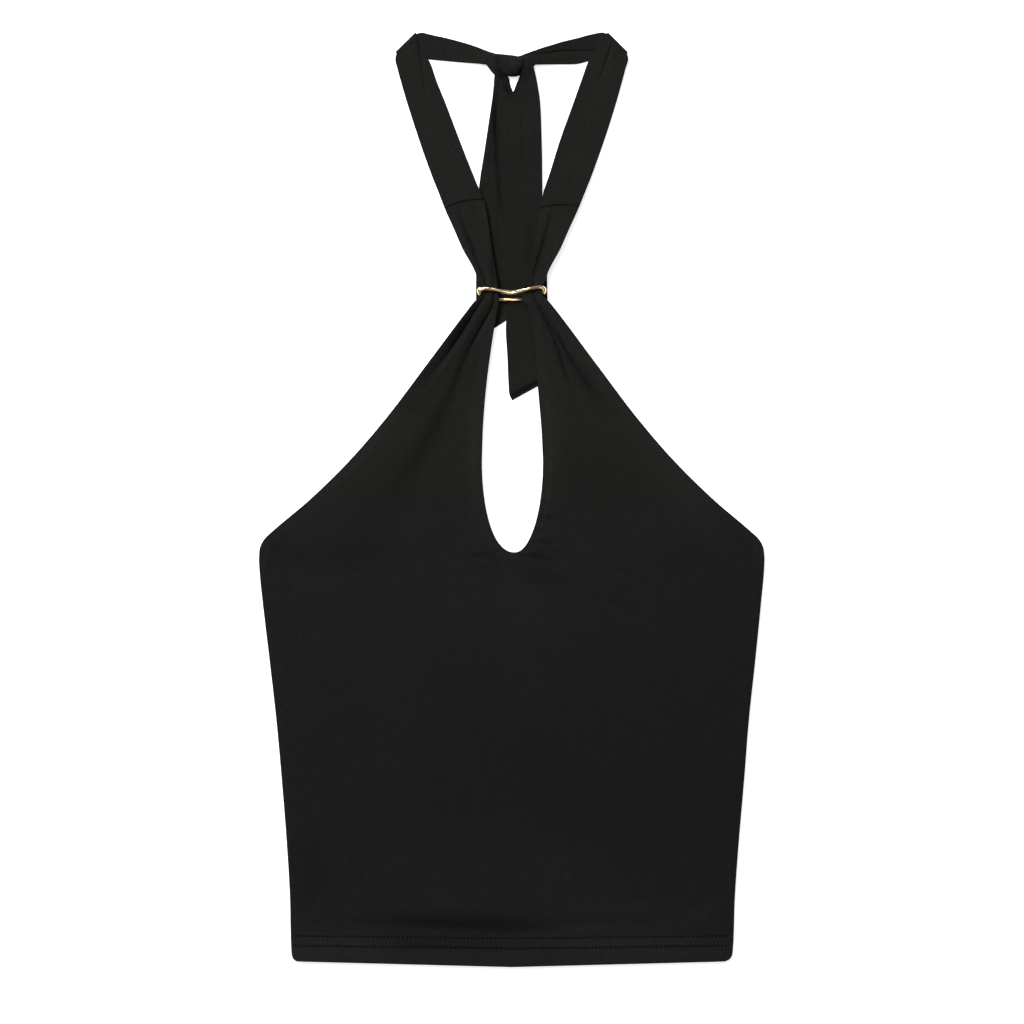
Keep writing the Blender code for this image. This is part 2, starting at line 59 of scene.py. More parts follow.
# Side seam and armhole: height, half width left, half width right
OUTER_EDGE = (
    (0, 158, 157), (2, 160.6, 160.4), (6, 161.8, 162.2), (49, 163, 164), (93, 165.5, 167),
    (137.5, 169, 170.8), (181.5, 173, 174.3), (225.5, 178, 179), (269.5, 183.2, 183.4),
    (291.5, 185.4, 185.4), (299, 185.8, 185.7), (306.5, 185.4, 185.2), (310.5, 184.2, 184),
    (314.5, 181.8, 181.6), (321, 175, 174.7), (343, 149, 149), (372.5, 119, 119), (402, 93.5, 93.5),
    (446, 60, 60), (483, 32, 32), (488.5, 27.6, 27.4), (491.5, 24.4, 24.4), (494, 22.1, 22.1),
    (496.5, 21.6, 21.6), (499.5, 21.4, 21.4), (502, 23.6, 23.6), (505, 25.7, 25.6),
    (508.7, 26.3, 26.2), (512.5, 27.8, 27.7), (527, 35.8, 35.5), (542, 42.5, 42.2),
    (556.5, 49, 48.8), (570, 54, 54),
)

# Keyhole: its lower end is half an ellipse, the rest follows the inner edges
KEYHOLE_END = 304.8
KEYHOLE_WIDEST = 372.5
KEYHOLE_HALF_WIDTH = 22.4
KEYHOLE_CENTRE = 0.5
KEYHOLE_POINT_SHIFT = 1.2
KEYHOLE_POINT_FADE = 6.0
KEYHOLE_ROUNDNESS = 2.1
INNER_EDGE = (
    (372.5, 21.9, 22.9), (394.5, 21.2, 21.8), (417, 19.6, 19.9), (431.5, 18.1, 18.7),
    (453.5, 15.2, 17.6), (468.5, 12.9, 15.6), (483, 10.3, 11.8), (490.5, 9.5, 7.4),
    (497.5, 9.9, 11), (505, 10.9, 13.4), (520, 13, 15.9), (539, 16, 17.7), (556, 18.6, 20.2),
    (566, 21, 22),
)

# Section lines of the front: height at the outer edge, at the inner edge, row spacing
FRONT_SECTIONS = (
    (0, 0, 0.25), (1.5, 1.5, 0.8), (10, 10, 0.7), (24, 24, 2), (60, 62, 3.5), (105, 110, 4),
    (150, 162, 4), (190, 212, 4), (225, 252, 3), (252, 284, 1.3), (268, 298.5, 0.8),
    (280, KEYHOLE_END, 1.2), (289, 305.4, 1), (297, 307.2, 0.9), (304, 310.3, 0.9),
    (309, 314.5, 0.9), (313.5, 320, 1.2), (319.5, 328, 1.5), (328.5, 338, 2), (343, 351, 2),
    (358, 364, 2.2), (373, 377, 2.2), (388, 390.5, 2.2), (403, 404, 2), (417, 417.5, 1.8),
    (431, 431, 1.5), (453, 453, 1.1), (468, 468, 0.9), (480, 480, 0.75), (505, 505, 0.9),
    (528, 528, 1.2),
)
KEYHOLE_SECTION = 11
SEAM_ROWS = 26
SEAM_CROWDING = 1.5
# Columns near an edge, as distances from it, and the number between both edges
EDGE_COLUMNS = (0.0, 0.08, 0.22, 0.42, 0.7, 1.2, 2.0, 3.2, 4.6, 5.8, 6.8, 7.5, 8.2, 9.2)
MIDDLE_COLUMNS = 36
EDGE_SHARE = 0.34

# Middle of the front wall above the table: height, at the edges, extra in the middle
FRONT_LIFT = (
    (0, 1.95, 0), (25, 1.95, 0.2), (150, 1.95, 0.9), (270, 1.95, 0.7), (306, 1.95, 0.3),
    (335, 0.95, 0.9), (400, 0.95, 1.3), (425, 2.2, 0.9), (450, 3.5, 0.4), (470, 4.8, 0),
    (481, 6.2, 0), (488, 7.3, 0), (496, 7.4, 0), (501, 7, 0), (510, 5.9, 0), (525, 4.95, 0),
    (536, 4.6, 0), (548, 4.15, 0), (566, 3.6, 0),
)

# Gathers through the ring: height, x, depth, half width, depth of the slit in it
FRONT_FOLDS = {
    "left_outer": (
        (405, -82, 0, 8, 0), (430, -64, 0.9, 6, 0.2), (447, -50, 1.5, 4.5, 0.9),
        (467, -36, 1.7, 3.2, 1.7), (487, -23.5, 1.4, 1.9, 1.5), (492, -20, 1.2, 1.7, 0.5),
        (497, -18.5, 1.1, 1.6, 0.4), (503, -19.3, 1.2, 1.6, 1.2), (520.5, -26.5, 1.3, 1.9, 1.4),
        (539, -34, 1, 2.2, 0.8), (560, -39, 0.3, 2.6, 0),
    ),
    "left_inner": (
        (310, -105, 0, 14, 0), (340, -89, 0.5, 12, 0), (400, -52, 1.2, 7, 0),
        (453, -31.5, 1.5, 3.2, 0.6), (467, -24, 1.6, 2.4, 1.3), (490.5, -13.2, 1.2, 1.6, 1.2),
        (497, -13, 1.1, 1.5, 0.4), (503, -13.8, 1, 1.5, 0.5), (520, -16.5, 0.7, 1.6, 0.3),
        (534, -19.5, 0, 1.8, 0),
    ),
    "right_inner": (
        (393, 55, 0, 6, 0), (423, 44.5, 0.9, 3.4, 0.1), (443, 37.5, 1.3, 2.6, 0.9),
        (465.3, 29.8, 1.9, 2.2, 2.2), (484.5, 20.6, 1.6, 1.7, 2.2), (491, 17, 1.2, 1.6, 0.5),
        (497, 16, 1.1, 1.5, 0.4), (504.5, 16.2, 1.1, 1.6, 0.8), (518, 18.6, 1.3, 2, 1),
        (527, 21.6, 1.2, 2.4, 0.6), (546, 27.8, 0.7, 2.8, 0.1), (560, 32.5, 0.2, 3, 0),
    ),
    "right_outer": (
        (350, 108, 0, 11, 0), (378, 90.5, 0.5, 9, 0), (400, 76, 1.1, 7, 0),
        (422, 61, 1.5, 4.6, 0.3), (436.5, 50.8, 1.5, 2.8, 0.9), (446, 45.2, 1.4, 1.8, 1.1),
        (466.6, 33.6, 0.9, 1.2, 0.9), (480, 25.8, 0.3, 1, 0.3), (486, 22, 0, 1, 0),
    ),
    "left_ridge": (
        (370, -91, 0, 6, 0), (400, -74.2, -0.35, 4, 0), (433, -54.7, -0.6, 2.4, 0),
        (466.8, -30.7, -0.5, 1.8, 0), (491.5, -15.7, 0, 1.2, 0),
    ),
    "right_ridge": (
        (365, 112, 0, 8, 0), (398, 88, -0.4, 6, 0), (432, 61, -0.6, 4, 0), (455, 45.5, -0.6, 3, 0),
        (475, 32.5, -0.4, 2, 0), (488, 24, 0, 1.4, 0),
    ),
    "left_short": (
        (500, -12.2, 0, 0.8, 0), (504, -12.6, 0.5, 0.8, 0.3), (514, -14.3, 0.5, 0.9, 0.3),
        (521, -15.6, 0, 1, 0),
    ),
}
SLIT_WIDTH = 0.34
# Painted shade in the slit at the bottom of each gather
SLIT_SHADE = 0.4

# Soft creases, each a straight stretch: from x, up, to x, up, depth, half width
FRONT_CREASES = (
    (12, 323.5, 38, 330.5, 0.35, 2.3), (14, 319.5, 27, 323, 0.45, 1.1),
    (13, 311, 33, 314.5, 0.35, 1.8), (4, 300.5, 27, 303.5, 0.75, 1.7),
    (15, 303.5, 44, 299, 0.55, 2.2), (5, 299.5, 25, 286, 0.5, 2.8), (12, 284, 52, 281.5, 0.6, 5.5),
    (-2, 305, -27, 302, 0.6, 2.3), (-3, 303, -14.5, 288, 0.4, 1.6), (-14, 318, -27, 311, 0.3, 1.8),
    (-1, 303, 6, 294, -0.25, 1.6), (-42, 378, -29, 330, 0.35, 7), (31, 422, 42, 388, 0.3, 5),
    (60, 385, 70, 335, 0.35, 8), (-120, 327, -60, 296, 0.35, 14), (-124, 29, -30, 27, 1.1, 4.2),
    (-66, 28.5, 26, 24.5, 1.2, 4.2), (6, 26, 66, 31.5, 0.8, 4), (58, 33, 116, 28, 0.5, 4),
    (-122, 39, 14, 38, -1.3, 6.5), (26, 41, 112, 40, -0.8, 6), (-158, 27, -124, 84, 0.8, 4.5),
    (-150, 25, -126, 56, -0.5, 3.6), (112, 25, 161, 61, 0.7, 4.5), (126, 24, 160, 44, -0.3, 3),
    (96, 210, 120, 150, 0.25, 13), (-120, 190, -96, 120, 0.2, 14), (-40, 262, 46, 268, -0.3, 7),
)
# Painted shade where the front lies in the dark of its gathers, and painted light where the share
# is negative: as a crease, with a share of darkness
FRONT_SHADES = (
    (-23, 494, -50, 451, 0.65, 3), (-34, 476, -72, 421, 0.35, 5), (-13.5, 492, -34, 446, 0.35, 1.2),
    (-24, 470, -56, 396, 0.2, 3), (-40, 466, -98, 380, -0.14, 3.4), (-30, 444, -92, 336, 0.26, 7.5),
    (-60, 376, -132, 290, 0.12, 14), (-156, 330, -78, 412, -0.14, 9),
    (-26, 440, -31, 342, -0.16, 6), (25, 450, 34, 332, -0.2, 8), (62, 440, 150, 320, -0.16, 15),
    (-190, 303, -80, 303, 0.14, 11), (-56, 268, 66, 262, -0.12, 22), (-60, 150, 190, 150, 0.08, 45),
    (15.5, 493.5, 28.5, 469, 0.85, 1.1), (22, 483, 38, 447, 0.65, 1), (33, 456, 43, 428, 0.3, 2.2),
    (27, 475, 47, 439, 0.65, 1.2), (42, 449, 64, 415, 0.35, 3.4), (10.5, 489, 12.6, 474, 0.5, 0.9),
    (11.6, 480, 18.4, 430, 0.4, 0.8), (-15, 478, -10.5, 493, 0.3, 1.2),
    (-18.2, 499, -37, 550, 0.7, 1.4), (-15.6, 541, -12.2, 498, 0.7, 1.6),
    (14.6, 499, 25, 537, 0.6, 2.1), (21, 526, 29, 554, 0.25, 2.2), (20, 331.5, 33, 330, 0.45, 1.5),
    (16.5, 321, 26, 320.4, 0.55, 1), (19, 313.2, 33, 312, 0.45, 1.4),
    (8, 303.2, 32, 299.4, 0.5, 1.9), (4, 292, 44, 279, 0.2, 5.5), (-36, 303.4, -6, 301, 0.26, 2),
    (-26, 290, -12, 300, 0.2, 2), (-87, 14.7, -5, 13.9, 0.35, 0.9), (-92, 34, 40, 31, 0.38, 7.5),
    (26, 36, 160, 38, -0.2, 10), (-104, 17, 6, 17, 0.13, 8), (-176, 16, -84, 16, -0.36, 9),
    (-8, 17, 178, 16, -0.3, 9), (-150, 70, 150, 64, -0.1, 20), (-14, 508, -40, 418, 0.2, 12),
    (-50, 444, -94, 388, 0.28, 7), (-40, 415, -75, 360, 0.15, 10), (27.5, 420, 27, 300, -0.21, 4.5),
    (-27, 415, -26.5, 300, -0.15, 4), (44, 470, 78, 420, -0.15, 9), (95, 385, 168, 300, -0.12, 12),
    (-192, 338, -158, 296, 0.12, 14), (-160, 92, -130, 40, 0.12, 14),
    (-52, 242, 42, 242, -0.08, 14),
)
# Broad painted light on the front from the hem up: paler at the hem and over the upper chest and
# arms
FRONT_PAINTED_LIGHT = (
    (0, 1.16), (26, 1.12), (60, 1.05), (130, 1), (300, 1.02), (360, 1.06), (420, 1.14), (480, 1.12),
    (520, 1.04), (566, 1),
)
# Faced band along the armholes and keyhole
BAND_WIDTH = 8.0
BAND_RISE = 0.16
BAND_SOFTNESS = 0.5
BAND_GROOVE = 0.03
BAND_GROOVE_AT = 1.1
BAND_GROOVE_WIDTH = 0.9
BAND_TONE = 0.12
# How closely lines are dotted to measure distances from them
DOT_SPACING = 0.12
# Small waves of the loose cloth: height and size, and where they fade out
UNDULATION = ((0.14, 62.0), (0.07, 23.0), (0.03, 8.0))
LOOSE_FROM_SIDE = 12.0
LOOSE_TOP = 470.0
LOOSE_FADE = 60.0
# Darkest and palest tone of the cloth
TONE_LIMITS = (0.1, 2.0)

# Seam down each side, where the front's edge rolls down and the back's rolls up
SIDE_SEAM_TOP = 299.0
SIDE_SEAM_FADE = 7.0
SIDE_SEAM_HEIGHT = 1.2
SIDE_SEAM_ROLL = 1.6

# Hem: heights of its two rows of stitches at the centre, and how they drop outwards
HEM_ROWS = (13.7, 21.0)
HEM_ROW_DROP = 0.009
HEM_GROOVE = 0.28
# Painted shade in the stitch grooves, and painted light on the hem's edge below the rows
HEM_GROOVE_SHADE = 0.12
HEM_EDGE_PAINTED_LIGHT = 0.14
HEM_EDGE_FROM = 0.6
HEM_GROOVE_WIDTH = 0.75
HEM_BULK = 0.22
HEM_BULK_FADE = 2.0
STITCH_PITCH = 2.8
STITCH_LENGTH = 1.45
STITCH_RADIUS = 0.54
STITCH_END = 160.0
HEM_PAST_STITCHES = 3.0
STITCH_LIFT = STITCH_RADIUS * 0.4
STITCH_BOW = 0.12
ROW_STAGGER = 0.4
# Cloth that bulges between two stitches, and how far it drops at its two ends
PUFF_SHIFT = 0.66
PUFF_LENGTH = 0.75
PUFF_LIFT = 0.05
PUFF_BOW = 0.1
PUFF_DROP = (0.1, 1.5)

# Back panel: its top edge dips from the underarm to the middle
BACK_DIP = 12.0
BACK_TOP = 304.0
BACK_ROWS = 90
BACK_CROWDING = 0.35
BACK_SEAM_GAP = 0.15
BACK_MIDDLE_COLUMNS = 40

# Seams between arm and strap: outer x, outer height, inner x, inner height, arch
STRAP_SEAMS = {
    "left": (-49.3, 557.4, -20.6, 563.8, 2.3),
    "right": (49.6, 558.6, 20.8, 557.9, 1.9),
}
SEAM_LAP = 0.2
SEAM_STITCH_PITCH = 1.7
SEAM_STITCH_REACH = (0.35, 0.3)
SEAM_STITCH_BOW = 0.05
# Painted shade along the seam between arm and strap, and at every rolled rim of cloth
SEAM_SHADE = 0.88
SEAM_SHADE_WIDTH = 1.3
RIM_SHADE = 0.45
RIM_WIDTH = 0.8
STRAP_TONE = 1.05
STRAP_ARCH_FADE = 12.0
STRAP_MIDDLE_COLUMNS = 22
STRAP_STEP = 1.1
FOLD_STEPS = 9

# Front run of each strap: outer x, outer height, inner x, inner height, middle height
STRAP_FRONT = {
    "left": (
        (-53.4, 568, -26.1, 576.5, 3.1), (-57.6, 578.5, -31.1, 589, 2.2),
        (-65.6, 600.5, -39.6, 611, 0.8), (-73.1, 623, -48.3, 634, 0.7),
        (-79.9, 645, -55.2, 651, 1.4), (-83.9, 659.5, -60.2, 665, UPPER),
        (-85.6, 666.8, -67.6, 676, UPPER),
    ),
    "right": (
        (53.4, 568, 23.3, 569.5, 3.2), (57.6, 578.5, 27.8, 583, 2.4), (65.6, 600.5, 35.2, 607, 0.8),
        (73.1, 623, 43.8, 631, 0.7), (79.6, 645, 50.6, 650, 1.4),
        (83.5, 659.5, 55.6, 664, UPPER), (85.6, 667, 61.4, 676.5, UPPER),
    ),
}
# Fold line over which a strap turns to the back: its two ends
STRAP_FOLD = {
    "left": (-84.7, 671.6, -70.0, 686.0),
    "right": (84.6, 671.4, 69.9, 686.1),
}
# Back run, towards the knot: lower x, height, upper x, height, middle height, wall
STRAP_BACK = {
    "left": (
        (-79, 670, -66.4, 686.9, LYING, 1.1), (-72, 668.9, -59, 685.3, LYING, 1.1),
        (-61, 667.1, -48, 682.9, LYING, 1.1), (-47, 665.7, -38.5, 680.4, 0.7, 1.3),
        (-34, 664.5, -30, 677.8, 1.2, 1.6), (-25, 663.7, -23, 675.2, 2, 2),
        (-18.2, 662.7, -17, 672.7, 2.8, 2.4), (-13, 661.5, -12, 671.2, 3.2, 2.6),
    ),
    "right": (
        (79, 669.6, 66.2, 687, LYING, 1.1), (72, 668, 58, 685.5, LYING, 1.1),
        (58.5, 666.2, 47.5, 682.7, LYING, 1.1), (46, 663.5, 38, 680.4, 0.7, 1.3),
        (33, 663.3, 29.5, 677.8, 1.2, 1.6), (24.5, 663.1, 22.5, 675.6, 2, 2),
        (17.6, 662.8, 16.6, 673.4, 2.8, 2.4), (10, 661.6, 9, 670.6, 3.4, 2.6),
    ),
}
# Creases of the straps, as on the front
STRAP_CREASES = {
    "left": {
        "front": (
            (-70, 686, -65.8, 662, 1, 0.9), (-67.4, 674, -63.4, 640, 0.6, 1.3),
            (-78, 680, -76, 662, 0.4, 1.4), (-52, 590, -44, 566, 0.35, 2),
            (-40, 585, -33, 566, 0.3, 1.6),
        ),
        "back": (
            (-60, 673, -20, 668.5, 0.25, 1.6), (-44, 679, -17, 671, 0.25, 1.2),
        ),
    },
    "right": {
        "front": (
            (74.4, 680.5, 66.5, 657, 1.1, 0.8), (69, 664, 62, 645, 0.6, 1.2),
            (47, 590, 40, 562, 0.35, 2), (34, 584, 28, 562, 0.3, 1.6),
        ),
        "back": (
            (12, 669.2, 45, 674.2, 1.2, 0.8), (30, 673, 66, 673.8, 1.2, 0.8),
            (18, 667, 58, 670.6, -0.35, 1.6),
        ),
    },
}

# Painted shade where a strap lies in the dark of a fold, and painted light where the share is
# negative: as a crease, with a share of darkness
STRAP_SHADES = {
    "left": (
        (-20, 664.5, -13, 668, 0.35, 1.6), (-70, 686, -66.4, 662, 0.5, 0.9),
        (-67.4, 670, -63.6, 641, 0.4, 0.9), (-62.5, 668, -60.5, 680, 0.15, 2),
        (-66, 684, -14, 668, 0.07, 9), (-45, 560, -80, 690, -0.04, 14),
    ),
    "right": (
        (73.4, 679, 64.6, 652, 0.5, 0.75), (14, 669.6, 45, 674.4, 0.7, 0.7),
        (30, 673.2, 64, 674, 0.7, 0.7), (8.5, 663, 11.5, 670.5, 0.4, 1.4),
        (4, 664, 70, 686, 0.15, 9), (45, 560, 80, 690, -0.08, 14),
    ),
}

# Core of the knot, left to right: lower x, height, upper x, height, middle, half depth
KNOT_CORE = (
    (-18.6, 662.8, -17, 672.2, 2.9, 0.9), (-16.2, 659.3, -14, 671.3, 3, 1.9),
    (-11.4, 654.9, -9.6, 669.8, 3, 2.5), (-5, 654.6, -4.8, 669, 3.1, 2.7),
    (0.5, 654.4, 0.3, 668.6, 3.1, 2.6), (6, 654.8, 5.6, 669.4, 3, 2.4),
    (11, 657.3, 10.6, 671.2, 3, 2.1), (14.6, 660.2, 14, 672.3, 2.9, 1.8),
    (17.6, 663, 16.6, 673, 2.8, 1.2),
)
# The band wound over the core
KNOT_BAND = (
    (-16.4, 664.6, -15.4, 669.6, 3.4, 0.5), (-15.2, 661.6, -14.6, 671, 3.5, 1.9),
    (-12.6, 658.6, -12, 671, 3.6, 2.9), (-9, 656.4, -8.6, 670.7, 3.7, 3.6),
    (-4, 654.4, -4.2, 670.3, 3.7, 4), (0.5, 653.9, 0, 669.8, 3.8, 4.15),
    (4.4, 654.3, 3.4, 669.3, 3.7, 4), (6.8, 656.6, 5.8, 668.3, 3.6, 3.5),
    (8.2, 659.4, 7.2, 666.8, 3.5, 2.6), (8.7, 661.6, 8, 664.8, 3.4, 0.9),
)
KNOT_SIDES = 72
KNOT_STEPS = 10
KNOT_CREASES = (
    (-11, 674.5, -6.6, 654.5, 1.9, 2.4), (-14.6, 671, -12.6, 659, 0.5, 0.9),
    (-5.6, 671.5, 0.2, 664.5, 0.3, 1.1), (-8, 661.5, 5.4, 656.6, 0.35, 1),
    (0.5, 670.5, 6.6, 661.5, 0.3, 0.9), (-1, 668, 3.8, 660.5, -0.3, 1.7),
)

# Painted shade on the knot's core, where it lies in the dark: as a crease, with a share of darkness
KNOT_CORE_SHADES = (
    (8, 668, 9.6, 659, 0.5, 1.6), (-14, 662, -8, 656, 0.4, 1.6),
)
# Painted shade under and beside the band, and painted light on its crest where the share is
# negative
KNOT_BAND_SHADES = (
    (-6.5, 653.6, 7.5, 653.8, 0.9, 2.3), (3.5, 653.4, 10, 663.5, 0.85, 1.8),
    (-15, 659, -2, 653.8, 0.75, 2.2), (-11.2, 673, -7.4, 655, 0.42, 2.6),
    (-2, 664.6, 4, 660.2, -0.3, 3), (5, 655, 10.6, 663, 0.8, 1.8),
    (-12, 670.5, 2, 671.5, 0.25, 2.4), (-8, 660.5, 8, 660, 0.12, 9),
)

# Tails, from the knot down: left x, height, right x, height, middle height, wall
TAIL_LEFT = (
    (-11, 660, -4.2, 657.4, 4.6, 0.8), (-12.3, 656.8, -3.4, 655, 2.9, 1.3),
    (-12.9, 654.3, -1.9, 653.1, 1.9, 1.5), (-13.3, 649, -1.2, 649, 0.85, 1.3),
    (-13.8, 643, 1, 643, LYING, 1.1), (-15.4, 631, 4.5, 631, LYING, 1.1),
    (-20, 600.5, 7.5, 600.5, LYING, 1.1), (-24, 573.5, 6.5, 573.5, LYING, 1.1),
    (-26.2, 535, 4.5, 535, LYING, 1.1), (-26.3, 495, 4, 500, LYING, 1.1),
    (-25.6, 475, 4, 488, LYING, 1.1), (-23.5, 462.3, 3.6, 480.2, LYING, 1.1),
)
TAIL_RIGHT = (
    (7.4, 662.4, 13, 665.4, 4.8, 1), (7, 658.8, 15.8, 662.6, 4.2, 1.4),
    (5.3, 653.3, 16.9, 658.6, 2.6, 1.5), (3.2, 648.6, 18.5, 651.5, 1.7, 1.3),
    (1, 643.2, 19.6, 645, UPPER, 1.1), (-6.4, 638.8, 20.6, 638.5, UPPER, 1.1),
    (-12.2, 632, 21.3, 630, UPPER, 1.1), (-14.2, 614, 21.9, 613, UPPER, 1.1),
    (-13.9, 592, 22.4, 592, UPPER, 1.1), (-10.8, 567.5, 22.6, 567.5, UPPER, 1.1),
    (-8.6, 542, 24.6, 542, UPPER, 1.1), (-5.2, 518, 25.8, 516, UPPER, 1.1),
    (-3.6, 486, 26.4, 488, UPPER, 1.1), (-4.4, 468, 27.4, 472, UPPER, 1.1),
    (-3.3, 449, 28.2, 456, 1, 1.1), (-2.6, 432, 28, 443, LYING, 1.1),
    (-1.9, 421.5, 27.6, 434.8, LYING, 1.1), (0.3, 416.4, 26.6, 431, LYING, 1.1),
)
TAIL_MIDDLE_COLUMNS = 22
TAIL_STEP = 1.4
TAIL_CREASES = {
    "left": (
        (-4.5, 657, -1, 640, 0.4, 1), (-9.8, 656, -8.2, 644, 0.45, 0.9), (-7, 652, -3, 638, 0.3, 1),
        (-12, 648, -12.5, 630, 0.3, 1.2), (-13.6, 648, -17.4, 606, -1, 1.3),
        (-16.4, 614, -20.5, 578, -0.8, 1.8),
    ),
    "right": (
        (11, 640, 7, 612, 0.35, 1.6), (8.4, 622, 7, 590, 0.3, 1.5), (-6.5, 625, -8, 602, 0.2, 1.4),
        (12.8, 663, 15, 653, 0.4, 0.8), (9.6, 663, 10.2, 651, 0.3, 0.8),
        (16, 640, 17.5, 600, 0.18, 1.8),
    ),
}

# Painted shade on the tails, in grooves and at shaded edges, and painted light where the share is
# negative: as a crease, with a share of darkness
TAIL_SHADES = {
    "left": (
        (-10.5, 646, -14, 622, 0.5, 1.2), (-6.2, 648.5, -0.8, 640, 0.5, 1.2),
        (-4.8, 653, -3, 641, 0.3, 1.2), (-3.6, 656, 0.4, 642, 0.6, 0.9),
        (-10, 655, -5, 652.6, 0.5, 1.6), (-9, 492, -6, 468, -0.6, 4),
        (-11.9, 494, -11.4, 470, 0.7, 0.9), (-8, 690, -8, 470, 0.12, 30),
    ),
    "right": (
        (6.6, 656.5, 9.5, 662.5, 0.6, 1.6), (7, 658, 1.4, 641.6, 0.5, 1.1),
        (8.6, 622, 7.2, 588, 0.12, 1.8), (-9, 415, 36, 439.2, 0.95, 1.5),
        (-11.9, 645, -12.7, 608, 0.8, 1.3), (-12.8, 624, -11, 584, 0.65, 1.3),
        (-11.8, 600, -7.6, 548, 0.45, 1.3), (-6, 647, -0.6, 639, 0.5, 1.2),
        (-11, 562, -7, 490, -0.5, 3.4), (14, 556, 12, 508, 0.2, 3), (2, 700, 4, 440, 0.1, 40),
        (-10, 680, -9, 470, 0.08, 8), (12, 470, 12, 405, -0.05, 20),
    ),
}

# Ring, once round from the middle of the front bar: x, up, z, wire thickness
RING_PATH = (
    (1, 495.3, 9.5, 3.3), (8, 496.5, 9.75, 3.1), (13.8, 498.1, 10.15, 2.9),
    (17.2, 498.75, 9.85, 2.8), (20.2, 499, 9.5, 2.8), (22.3, 498.8, 9.1, 3.4),
    (23.5, 497.6, 8.2, 4.9), (23.3, 496, 7, 4.8), (22.3, 495.2, 5, 2.9), (18.6, 491.8, 3.9, 2.4),
    (13, 490.5, 3.7, 2.4), (5.5, 490.5, 3.98, 2.4), (-2, 490.5, 4.1, 2.4), (-9.5, 490.5, 3.98, 2.4),
    (-15.5, 490.7, 3.8, 2.4), (-19, 491.8, 4, 2.4), (-22.3, 494.7, 5, 2.9), (-23.3, 495.4, 7, 4.8),
    (-23.6, 496.8, 8.2, 4.9), (-22.6, 497.7, 9.2, 3.5), (-19, 497.95, 9.8, 2.8),
    (-13.4, 497.3, 10.15, 2.9), (-6.5, 496, 9.75, 3.2),
)
# Painted shade on the polish, where the bars turn from the light and at the back bar's shaded ends
RING_SHADES = (
    (-22.6, 497.6, -16.4, 497.9, 0.72, 1.1), (-13, 497.4, -3, 495.4, 0.38, 1.5),
    (1.6, 495.6, 9.4, 496.9, 0.62, 1.3), (13.2, 497.9, 21.6, 498.8, 0.45, 1.6),
    (-13.5, 490.5, -4.9, 490.5, 0.9, 1.6), (3.4, 490.5, 12.4, 490.5, 0.85, 1.6),
)
RING_STEPS = 360
RING_SIDES = 28
RING_FINE_STEPS = 30
RING_FLATNESS = 0.72

# Looks
JERSEY = (0.0095, 0.0096, 0.0094)
STRAP_JERSEY = (0.0096, 0.0097, 0.0088)
# Heights in metres between which the front takes on the straps' warmer black
WARMER_FROM = 0.29
WARMER_TO = 0.37
# Lighter black of the cloth bulging between hem stitches: a painted highlight
PUFF_HIGHLIGHT_JERSEY = (0.019, 0.019, 0.0185)
# Black thread, darker than the jersey as painted shade of the stitch pits
THREAD_AND_PIT_SHADE = (0.001, 0.001, 0.001)
CLOTH_GLOSS = 0.06
GOLD = (0.93, 0.68, 0.40)
WHITE = (1.0, 1.0, 1.0, 1.0)
# Knit: width of a column of stitches, height of a row, relief
WALE = 0.78
COURSE = 0.62
KNIT_DEPTH = 0.05
KNIT_SLANT = 1.1
# How fine the mottled looks are, in bumps a metre
FUZZ_SCALE = 2600.0
CLOUD_SCALE = 14.0
MOTTLE_SCALE = 520.0
TWIST_SCALE = 4200.0
DENT_SCALE = 150.0
SCUFF_SCALE = 1500.0
WHITE_FLOOR = (0.9, 0.9, 0.9)
FLOOR_GLOW = 0.62
FLOOR_REACH = 6.0
FLOOR_LEVEL = -0.0002
WORLD_ZENITH = 0.46
WORLD_HORIZON = 0.16
# Lamps: name, place in metres, width and length, watts
LAMPS = (
    ("softbox", (-0.7, 1.0, 1.2), (0.7, 0.7), 35.0),
    ("overhead_strip", (-0.02, 0.3, 2.7), (0.12, 5.0), 9.0),
)

# Camera: straight above the picture's centre, in metres
PICTURE_WIDTH = 0.7527
PICTURE_CENTRE = (0.0002, -0.0089)
CAMERA_HEIGHT = 2.2
FOCUS_HEIGHT = 0.001
FARTHEST_SEEN = 50.0
SENSOR = 36.0


def column(table, index):
    return [row[index] for row in table]


def smooth(places, values, at):
    """Smooth curve through a few values, with no overshoot between them."""
    x = np.asarray(places, float)
    y = np.asarray(values, float)
    at = np.clip(np.asarray(at, float), x[0], x[-1])
    step = np.diff(x)
    slope = np.diff(y) / step
    tangent = np.zeros_like(y)
    tangent[0] = slope[0]
    tangent[-1] = slope[-1]
    for i in range(1, len(x) - 1):
        if slope[i - 1] * slope[i] > 0:
            before = 2 * step[i] + step[i - 1]
            after = step[i] + 2 * step[i - 1]
            tangent[i] = (before + after) / (before / slope[i - 1] + after / slope[i])
    i = np.clip(np.searchsorted(x, at, side="right") - 1, 0, len(x) - 2)
    t = (at - x[i]) / step[i]
    return (
        (2 * t**3 - 3 * t**2 + 1) * y[i]
        + (t**3 - 2 * t**2 + t) * step[i] * tangent[i]
        + (3 * t**2 - 2 * t**3) * y[i + 1]
        + (t**3 - t**2) * step[i] * tangent[i + 1]
    )


def from_table(table, index, at):
    return smooth(column(table, 0), column(table, index), at)


def ease(value):
    """0 below 0, 1 above 1, soft between."""
    value = np.clip(value, 0.0, 1.0)
    return value * value * (3 - 2 * value)


def outer_edge(side, up):
    return side * from_table(OUTER_EDGE, 1 if side < 0 else 2, up)


